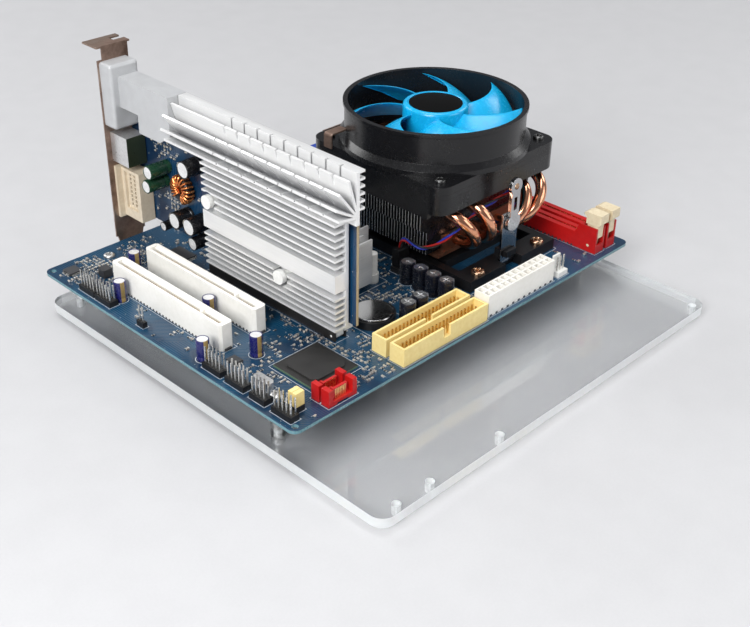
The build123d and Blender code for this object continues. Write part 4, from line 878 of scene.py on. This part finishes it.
def taken_cells(cell, size):
    """Cells of the board's face that the box of any low solid lies over, as a grid of true and false."""
    margin, reach = 0.7, 9.0
    grid = np.zeros((int(size[0] / cell) + 1, int(size[1] / cell) + 1), bool)
    for node in frame["nodes"]:
        if node in ("main_board", "base_plate", "standoffs", "plate_screws"):
            continue
        for low, high in solids(node):
            if low[2] < reach:
                i, j = np.floor((low[:2] - margin) / cell).astype(int).clip(0)
                k, m = np.ceil((high[:2] + margin) / cell).astype(int).clip(0)
                grid[i:k, j:m] = True
    return grid


def crowd(x, y, centres):
    """How thickly parts stand at a place: the sum of round hills about the centres."""
    total = np.zeros(len(x))
    for cx, cy, spread, weight in centres:
        total += weight * np.exp(-((x - cx) ** 2 + (y - cy) ** 2) / (2 * spread ** 2))
    return total


def scatter(across, along, step, crowds):
    """Places on a grid, each moved a little, and which of them the crowds keep."""
    stray = 0.25
    x, y = np.meshgrid(np.arange(*across, step[0]), np.arange(*along, step[1]), indexing="ij")
    spots = np.stack([x.ravel(), y.ravel()], -1) + rng.uniform(-stray, stray, (x.size, 2))
    return spots, rng.random(len(spots)) < crowd(*spots.T, crowds)


def small_parts(spots, turned, size, name, body_finish, carry=None):
    """Two-ended parts: a chamfered body between two larger plated ends, along X or turned along Y."""
    length, width, height = size
    end, grown, end_edge = 0.22 * length, 0.03, 0.06
    body_inset, body_lift, body_edge = 0.05, 0.02, 0.07
    half = np.where(turned[:, None], [[width / 2, length / 2]], [[length / 2, width / 2]])
    along = np.where(turned[:, None], [[0, 1]], [[1, 0]])
    flat = np.zeros((len(spots), 1))

    def plated_end(sign):
        """The plated ends on one side of all the parts."""
        outer = spots + sign * along * length / 2
        inner = outer - sign * along * end
        across = (1 - along) * (width / 2 + grown)
        low, high = np.minimum(outer, inner) - across, np.maximum(outer, inner) + across
        return bars(np.hstack([low, flat]), np.hstack([high, flat + height + grown]), end_edge)

    body = bars(np.hstack([spots - half + along * body_inset, flat + body_lift]),
                np.hstack([spots + half - along * body_inset, flat + height]), body_edge)
    plated = gather(plated_end(1), plated_end(-1))
    if carry:
        body, plated = (carry(body[0]), body[1]), (carry(plated[0]), plated[1])
    add_piece(name + "_bodies", body, body_finish)
    add_piece(name + "_ends", plated, silver_pin)


def part_marks(spots, turned):
    """Printed bars beside small parts."""
    aside, long_half, thin_half = 0.95, 1.1, 0.11
    away = np.where(turned[:, None], [[aside, 0]], [[0, aside]])
    half = np.where(turned[:, None], [[thin_half, long_half]], [[long_half, thin_half]])
    flat = np.zeros((len(spots), 1))
    low, high = np.hstack([spots + away - half, flat]), np.hstack([spots + away + half, flat + PRINT_HEIGHT])
    return bars(low, high, PRINT_EDGE)


def board_parts():
    """Tan, dark and tall parts where the crowds put them and no solid stands, with marks beside most."""
    cell, rim, clear, grid_step = 0.5, 3, 1.2, (2.2, 2.6)
    size = node_box("main_board")[1]
    taken = taken_cells(cell, size)
    spots, keep = scatter((rim, size[0] - rim), (rim, size[1] - rim), grid_step, BOARD_CROWDS)
    for corner in ((-1, -1), (-1, 1), (1, -1), (1, 1), (0, 0)):
        i, j = ((spots + clear * np.array(corner)) / cell).astype(int).T
        keep &= ~taken[i.clip(0, taken.shape[0] - 1), j.clip(0, taken.shape[1] - 1)]
    spots = spots[keep]
    turned, kind = rng.random(len(spots)) < 0.5, rng.random(len(spots))
    tan, tall, marked = kind < 0.5, kind >= 0.88, kind < 0.7
    dark = ~tan & ~tall
    small_parts(spots[tan], turned[tan], TAN_SIZE, "ceramic_parts", ceramic_tan)
    small_parts(spots[dark], turned[dark], DARK_SIZE, "resistors", chip_black)
    small_parts(spots[tall], turned[tall], TALL_SIZE, "large_ceramics", ceramic_grey)
    add_piece("part_marks", part_marks(spots[marked], turned[marked]), ink)


def card_parts(name, side, face, crowds):
    """The same parts stood on a face of the card, by swapping board height for distance from the face."""
    clear, heatsink_end = 1.3, 129
    span, rise, grid_step = (30, 190), (15, 66), (2.6, 2.4)
    spots, keep = scatter(span, rise, grid_step, crowds)
    if side < 0:
        keep &= spots[:, 0] > heatsink_end
        for node in ("card_capacitors", "choke", "digital_port", "signal_ports", "card_cover"):
            for low, high in solids(node):
                inside = (spots > low[1:] - clear) & (spots < high[1:] + clear)
                keep &= ~inside.all(1)
    spots = spots[keep]
    turned = rng.random(len(spots)) < 0.5

    def carry(points):
        """A flat layout stood up on the card's face."""
        return np.stack([face + side * points[:, 2], points[:, 0], points[:, 1]], -1)

    small_parts(spots, turned, TAN_SIZE, f"card_parts_{name}", ceramic_tan, carry)
    marks, faces = part_marks(spots, turned)
    add_piece(f"card_marks_{name}", (carry(marks), faces), ink)


board_parts()
card_low, card_high = node_box("card_board")
card_parts("face", -1, card_low[0], CARD_FACE_CROWDS)
card_parts("back", 1, card_high[0], CARD_BACK_CROWDS)


# Contacts, terminals, legs and print; a slot row is a node, its tail pitch, end inset and row distance
SLOT_ROWS = (("expansion_slots", 2.54, 3.4, 2.0), ("graphics_slot", 2.0, 8.0, 2.0),
             ("memory_slots", 2.54, 15.0, 2.2))
POWER_PITCH, POWER_ROWS = 4.3, (2.45, 6.75)
CONTACT_EDGE = 0.03


def slot_rows():
    """Each card slot's box, the places of its pins along Y and its rows' distance from its middle."""
    for node, pitch, inset, row in SLOT_ROWS:
        for low, high in solids(node):
            yield low, high, np.arange(low[1] + inset, high[1] - inset, pitch), row


def power_columns(low, high):
    """Places of a power socket's wells along X."""
    return np.arange(low[0] + POWER_PITCH / 2, high[0], POWER_PITCH)


def slot_contacts():
    """Dark bars along the feet of card slots, painted shade for the notches there, and along the feet of
    power sockets, a dark block at each expansion slot's front end, and plated contacts on the walls of the
    slots' grooves."""
    notch_half, notch_levels, power_half, power_levels = (0.07, 0.55), (0.0, 0.9), (0.8, 0.07), (0.0, 1.1)
    key_half, key_reach, key_sunk, key_levels, key_edge = 1.9, 0.9, 0.05, (0.0, 1.3), 0.15
    contact_half, contact_pitch = (0.08, 0.3), 1.27
    dark_bars, contacts = [], []
    for low, high, y, _ in slot_rows():
        # Painted shade: the dark bars on the card slots' sides stand for the notches along their feet.
        dark_bars += [posts(x, y, notch_half, notch_levels, CONTACT_EDGE) for x in (low[0], high[0])]
    for low, high in solids("expansion_slots"):
        middle = (low[0] + high[0]) / 2
        dark_bars.append(box_rows(middle - key_half, middle + key_half, low[1] - key_reach, low[1] + key_sunk,
                              *key_levels, key_edge))
    for low, high in solids("power_sockets"):
        dark_bars.append(posts(power_columns(low, high), low[1], power_half, power_levels, CONTACT_EDGE))
    for node, inset, levels, groove_half in (("expansion_slots", 3.4, (4.0, 11.4), 0.93),
                                             ("memory_slots", 15.0, (3.4, 8.3), 0.83)):
        for low, high in solids(node):
            middle = (low[0] + high[0]) / 2
            y = np.arange(low[1] + inset, high[1] - inset, contact_pitch)
            contacts += [posts(middle + side * groove_half, y, contact_half, levels, CONTACT_EDGE)
                         for side in (-1, 1)]
    add_piece("slot_dark_bars", gather(*dark_bars), chip_black)
    add_piece("slot_contacts", gather(*contacts), gold)


def terminals():
    """Square tubes in the power sockets' wells, and contact strips on the serial ports' blades."""
    tube_half, tube_levels, tube_edge = (0.7, 0.7), (2.6, 9.6), 0.12
    strip_half, strip_levels, strip_edge = (0.3, 0.05), (2.2, 6.8), 0.02
    strip_count, strip_start, strip_pitch, blade_half = 7, 5.6, 0.95, 0.66
    tubes, strips = [], []
    for low, high in solids("power_sockets"):
        x, y = np.meshgrid(power_columns(low, high), low[1] + np.array(POWER_ROWS))
        tubes.append(posts(x, y, tube_half, tube_levels, tube_edge))
    for low, high in solids("serial_ports"):
        x, y = low[0] + strip_start + np.arange(strip_count) * strip_pitch, (low[1] + high[1]) / 2
        strips += [posts(x, y + side * blade_half, strip_half, strip_levels, strip_edge) for side in (-1, 1)]
    add_piece("power_terminals", gather(*tubes), silver_pin)
    add_piece("serial_contacts", gather(*strips), gold)


def legs_of(low, high, pitch, quarter_turns):
    """Bent strips that leave a chip's sides at mid height and end flat on the board."""
    thick, half, corner = 0.12, 0.28 * pitch, 0.7
    start = 0.55 * (high[2] - low[2])
    strip = [(-0.05, start), (0.4, start), (0.62, 0.13), (1.15, 0.13)]
    leg = np.array([[(a, -half, b), (a, half, b), (a, half, b - thick), (a, -half, b - thick)]
                    for a, b in strip]).reshape(-1, 3)
    faces = np.concatenate([quads(4, 4, close_columns=True), [(0, 1, 2, 3), (15, 14, 13, 12)]])
    middle, size = (low + high)[:2] / 2, (high - low)[:2] / 2
    legs = []
    for turn in quarter_turns:
        c, s = round(math.cos(turn * TURN / 4)), round(math.sin(turn * TURN / 4))
        out, along = size if turn % 2 == 0 else size[::-1]
        count = int((2 * along - corner) / pitch)
        for step in (np.arange(count) - (count - 1) / 2) * pitch:
            x, y, z = (leg + (out, step, 0)).T
            legs.append((np.stack([middle[0] + x * c - y * s, middle[1] + x * s + y * c, z], -1), faces))
    return gather(*legs)


def chip_legs():
    """Legs of the flat chips: two rows of wide ones on narrow chips, fine ones all round the others."""
    chip_top, narrow, wide_pitch, fine_pitch = 2.0, 5.5, 1.27, 0.65
    legs = []
    for low, high in solids("chips"):
        if low[2] < 0.1 and high[2] < chip_top:
            two_rows = high[0] - low[0] < narrow
            legs.append(legs_of(low, high, *((wide_pitch, (1, 3)) if two_rows else (fine_pitch, range(4)))))
    add_piece("chip_legs", gather(*legs), silver_pin)


def board_print():
    """Printed lines round sockets and chips, and printed rings round the cans."""
    line, rim, lowest, ring_gap = 0.24, 0.3, 3.0, 0.45
    outlines = {"expansion_slots": 1.0, "graphics_slot": 1.0, "memory_slots": 0.8, "drive_headers": 0.7,
                "power_sockets": 0.7, "header_bases": 0.6, "south_chip": 1.6, "fan_headers": 0.7,
                "crystal_can": 0.6, "serial_ports": 0.7, "retention_frame": 1.3, "north_heatsink": 1.2,
                "cell_holder": 0.8, "keyboard_ports": 0.8, "metal_ports": 0.8, "audio_jacks": 0.8}
    far_corner = node_box("main_board")[1][:2] - rim
    lines = []
    for node, grow in outlines.items():
        for low, high in solids(node):
            if low[2] < lowest:
                x0, y0 = low[:2] - grow
                x1, y1 = (high[:2] + grow).clip(None, far_corner)
                lines.append(box_rows([x0, x0, x0, x1 - line], [x1, x1, x0 + line, x1],
                                      [y0, y1 - line, y0, y0], [y0 + line, y1, y1, y1],
                                      0.0, PRINT_HEIGHT, PRINT_EDGE))
    for node in ("board_capacitors", "supply_capacitors"):
        for low, high in solids(node):
            r = (high[0] - low[0]) / 2 + ring_gap
            ring = [(r, 0.0), (r, PRINT_HEIGHT), (r + line, PRINT_HEIGHT), (r + line, 0.0)]
            points, faces = lathe(ring, 40)
            lines.append((points + np.append((low + high)[:2] / 2, 0), faces))
    add_piece("board_print", gather(*lines), ink)


def solder_points():
    """Small domes under the board below every pin, slot contact, terminal and processor contact."""
    pitch, window_half, socket_start, socket_stop = 2.2, 8, (3, 5), (2, 4)
    spots = [solids(node)[:, :, :2].mean(1) for node in ("drive_pins", "header_pins")]
    for low, high, y, row in slot_rows():
        middle = (low[0] + high[0]) / 2
        spots += [np.c_[np.full(len(y), middle + side * row), y] for side in (-1, 1)]
    for low, high in solids("power_sockets"):
        x, y = np.meshgrid(power_columns(low, high), low[1] + np.array(POWER_ROWS), indexing="ij")
        spots.append(np.c_[x.ravel(), y.ravel()])
    low, high = node_box("processor_socket")
    start, stop = low[:2] + socket_start, high[:2] - socket_stop
    x, y = np.meshgrid(np.arange(start[0], stop[0], pitch), np.arange(start[1], stop[1], pitch))
    grid = np.c_[x.ravel(), y.ravel()]
    spots.append(grid[abs(grid - (low + high)[:2] / 2).max(1) > window_half])
    spots = np.concatenate(spots)
    under = np.full(len(spots), node_box("main_board")[0][2])
    dome = lathe([(0.0, -0.9), (0.2, -0.85), (0.45, -0.3), (0.75, 0.0)], 8)
    add_piece("solder_points", copies(dome, np.c_[spots, under]), silver_pin)


slot_contacts()
terminals()
chip_legs()
board_print()
solder_points()


# Insides of the rear sockets
SOCKET_REAR = node_box("metal_ports")[1][1]
JACK_REAR = node_box("audio_jacks")[1][1]
CARD_SOCKET_END = node_box("digital_port")[1][1] - 1.2


def hole_shade_discs(spots, y, radius=0.5):
    """Small dark discs on a face that looks along Y, at (x, z) places: painted shade for the insides of pin
    holes.
    """
    disc = [(0.0, 0.04), (radius, 0.04), (radius, -0.2)]
    return gather(*[turned_y(disc, x, z, y, 10) for x, z in spots])


def data_sockets():
    """Tongues in the four data sockets, four strips on each, and the network socket's eight contacts."""
    left, right = np.array([131.6, 131.6, 150.2, 150.2]), np.array([140.9, 140.9, 159.3, 159.3])
    level, tongue_thick, tongue_edge = np.array([4.6, 11.0, 4.2, 11.2]), 1.7, 0.15
    strip_count, strip_start, strip_pitch, strip_half, strip_edge = 4, 1.4, 2.1, 0.5, 0.02
    strip_proud, strip_sunk = 0.1, 0.05
    spring_count, spring_start, spring_pitch, spring_half, spring_edge = 8, 132.5, 1.07, 0.25, 0.05
    spring_levels = (23.2, 23.5)
    depths = ((10.0, 0.8), (9.5, 1.2), (11.8, 3.0))
    tongue_y, strip_y, spring_y = [SOCKET_REAR - np.array(depth) for depth in depths]
    tongues = box_rows(left, right, *tongue_y, level, level + tongue_thick, tongue_edge)
    add_piece("data_tongues", tongues, white)
    x = (left[:, None] + strip_start + np.arange(strip_count) * strip_pitch).ravel()
    z = np.repeat(level, strip_count)
    strips = box_rows(x - strip_half, x + strip_half, *strip_y, z - strip_proud, z + strip_sunk, strip_edge)
    x = spring_start + np.arange(spring_count) * spring_pitch
    springs = box_rows(x - spring_half, x + spring_half, *spring_y, *spring_levels, spring_edge)
    add_piece("data_contacts", gather(strips, springs), gold)


def jack_liners():
    """A coloured ring round the bore of each sound jack."""
    first, pitch, level = 94.2, 12.3, 6.2
    ring = [(1.85, -1.0), (1.85, 0.2), (3.2, 0.25), (3.7, 0.1), (3.95, -0.2), (3.95, -2.9)]
    for number, liner in enumerate((pink, lime, sky)):
        shape = turned_y(ring, first + pitch * number, level, JACK_REAR, 40)
        add_piece(f"jack_liner_{number + 1}", shape, liner)


def keyboard_liners():
    """Coloured dished discs in the keyboard and mouse sockets; gives dark discs of painted shade for their
    pin holes.
    """
    x, depth, hole_ring, hole_radius = 224.5, SOCKET_REAR - 1.6, 2.4, 0.45
    dish = [(0.0, 0.0), (3.6, 0.0), (3.8, 0.9), (4.75, 1.0), (4.75, -1.0), (0.0, -1.0)]
    holes = []
    for z, liner, name in ((7.0, violet, "keyboard_liner"), (20.0, lime, "mouse_liner")):
        add_piece(name, turned_y(dish, x, z, depth, 40), liner)
        angles = np.radians([60, 120, 180, 240, 300, 0])
        spots = [(x + hole_ring * math.cos(a), z + hole_ring * math.sin(a)) for a in angles]
        holes.append(hole_shade_discs(spots, depth, hole_radius))
    return holes


def screen_socket():
    """The screen socket's block and its two nuts; gives painted shade discs for three slanted rows of five
    pin holes.
    """
    width, levels, proud, edge = (173.05, 187.95), (3.65, 9.35), 4.2, 0.3
    nut_places, nut_level = (168.6, 192.4), 6.5
    hole_x, hole_z, hole_pitch, hole_rise, row_shift = 176.0, 4.9, 2.2, 1.6, 0.7
    block = box_rows(*width, SOCKET_REAR, SOCKET_REAR + proud, *levels, edge)
    add_piece("screen_insert", block, blue_shell)
    nut = [(0.0, 4.4), (1.4, 4.4), (1.6, 4.2), (2.6, 4.0), (2.8, 3.7), (2.8, 0.0)]
    nuts = [turned_y(nut, x, nut_level, SOCKET_REAR, 6) for x in nut_places]
    add_piece("screen_nuts", gather(*nuts), zinc)
    spots = [(hole_x + hole_pitch * i + row_shift * j, hole_z + hole_rise * j)
             for i in range(5) for j in range(3)]
    return [hole_shade_discs(spots, SOCKET_REAR + proud)]


def card_sockets():
    """Blocks in the card's three sockets; gives painted shade discs for the pin holes of the lowest and the
    highest.
    """
    width, depth, edge = (53.25, 60.55), 4.0, 0.3
    square_start, square_step, square_radius = (55.0, 18.0), (1.9, 2.4), 0.55
    upper_start, upper_step, upper_shift = (55.2, 72.6), (1.7, 4.0), 1.3
    inserts = (("digital_insert", (15.55, 36.95), white), ("video_insert", (48.05, 55.95), black),
               ("upper_insert", (70.05, 90.95), blue_shell))
    for name, levels, liner in inserts:
        block = box_rows(*width, CARD_SOCKET_END - depth, CARD_SOCKET_END, *levels, edge)
        add_piece(name, block, liner)
    square = [(square_start[0] + square_step[0] * i, square_start[1] + square_step[1] * j)
              for i in range(3) for j in range(8)]
    upper = [(upper_start[0] + upper_step[0] * i, upper_start[1] + upper_step[1] * j + upper_shift * (i % 2))
             for i in range(3) for j in range(5)]
    return [hole_shade_discs(square, CARD_SOCKET_END, square_radius), hole_shade_discs(upper, CARD_SOCKET_END)]


data_sockets()
jack_liners()
# Painted shade: dark discs stand for the shaded insides of the sockets' pin holes.
socket_hole_shade = keyboard_liners() + screen_socket() + card_sockets()
add_piece("socket_hole_shade", gather(*socket_hole_shade), label_and_shade_black)


# Last small fittings
def lever_rivet():
    """A turned rivet head on the clip lever's eye."""
    eye_drop = 4.3
    low, high = node_box("clip_lever")
    head = [(0.0, -0.5), (1.1, -0.45), (1.6, -0.2), (1.7, 0.05)]
    rivet = turned_y(head, (low[0] + high[0]) / 2, high[2] - eye_drop, low[1])
    add_piece("lever_rivet", rivet, bronze_screw, "clip_lever")


def digital_pocket_shade():
    """Dark square bars at the bottom of the digital port's pockets, in two columns of eight: painted shade
    in the pockets.
    """
    columns, first, pitch, half, width, edge = (184.7, 188.1), 19.9, 2.4, 0.72, (56.9, 57.7), 0.1
    y, z = np.meshgrid(columns, first + pitch * np.arange(8))
    pocket_shade_bars = box_rows(*width, y - half, y + half, z - half, z + half, edge)
    add_piece("digital_pocket_shade", pocket_shade_bars, label_and_shade_black)


lever_rivet()
digital_pocket_shade()


# Stage and light
FLOOR_HALF, FLOOR_DROP = 40.0, 0.0002
floor_points = np.array([(-1, -1, 0), (1, -1, 0), (1, 1, 0), (-1, 1, 0)]) * FLOOR_HALF
floor_mesh = bpy.data.meshes.new("floor")
floor_mesh.from_pydata((floor_points + (0, 0, cad_bounds[0].z - FLOOR_DROP)).tolist(), [], [(0, 1, 2, 3)])
pale = finish("pale_floor", (0.53, 0.53, 0.54), (0.51, 0.51, 0.52), (0.5, 0.55), bump=0.0)
floor_mesh.materials.append(pale)
floor = bpy.data.objects.new("floor", floor_mesh)
bpy.context.scene.collection.objects.link(floor)


def look_axes(back):
    """Rotation whose third column points back from the target, with its first column level."""
    back = back / np.linalg.norm(back)
    right = np.cross((0, 0, 1), back)
    right = right / np.linalg.norm(right)
    return np.stack([right, np.cross(back, right), back], 1).tolist()


def add_lamp(name, kind, lamp_place, target_height, **settings):
    """A lamp that looks at a point above the origin; settings are values of the lamp's own data."""
    data = bpy.data.lights.new(name, kind)
    for key, value in settings.items():
        setattr(data, key, value)
    lamp = bpy.data.objects.new(name, data)
    lamp.location = lamp_place
    lamp.rotation_euler = Matrix(look_axes(np.subtract(lamp_place, (0, 0, target_height)))).to_euler()
    bpy.context.scene.collection.objects.link(lamp)


# The top light is a wide sun, which lights the floor evenly to its end
add_lamp("key", "AREA", (-1.0, -0.35, 0.75), 0.04, size=0.6, energy=16.0)
add_lamp("top", "SUN", (0.1, 0.2, 1.3), 0.0, angle=math.radians(38), energy=1.4)
add_lamp("fill", "AREA", (0.5, -1.0, 0.6), 0.04, size=0.8, energy=4.0)
add_lamp("rear", "AREA", (-0.15, 1.1, 0.75), 0.05, size=0.5, energy=4.5)
add_lamp("side", "AREA", (1.1, -0.15, 0.75), 0.05, size=0.5, energy=3.0)
world = bpy.data.worlds.new("studio")
world.use_nodes = True
set_sockets(world.node_tree, world.node_tree.nodes["Background"],
            {"Color": (0.93, 0.95, 1.0, 1.0), "Strength": 0.22})
bpy.context.scene.world = world
bpy.context.scene.view_settings.view_transform = "Standard"

# Camera: where the photograph was taken, solved from the plate's standard holes
LENS, SENSOR = 56.76, 36.0
AZIMUTH, ELEVATION, ROLL = math.radians(-45.97), math.radians(31.59), math.radians(0.98)
CAMERA_PLACE = np.array([-0.38114, -0.37415, 0.32406])
level = np.array([math.cos(AZIMUTH), math.sin(AZIMUTH), 0.0])
back = np.array([math.sin(AZIMUTH) * math.cos(ELEVATION), -math.cos(AZIMUTH) * math.cos(ELEVATION),
                 math.sin(ELEVATION)])
up = np.cross(back, level)
across = math.cos(ROLL) * level + math.sin(ROLL) * up
upright = -math.sin(ROLL) * level + math.cos(ROLL) * up
camera_data = bpy.data.cameras.new("camera")
camera_data.lens, camera_data.sensor_width, camera_data.sensor_fit = LENS, SENSOR, "HORIZONTAL"
camera_data.clip_start, camera_data.clip_end = 0.01, 100.0
camera = bpy.data.objects.new("camera", camera_data)
camera_axes = Matrix(np.stack([across, upright, back], 1).tolist()).to_4x4()
camera.matrix_world = Matrix.Translation(CAMERA_PLACE) @ camera_axes
bpy.context.scene.collection.objects.link(camera)
bpy.context.scene.camera = camera
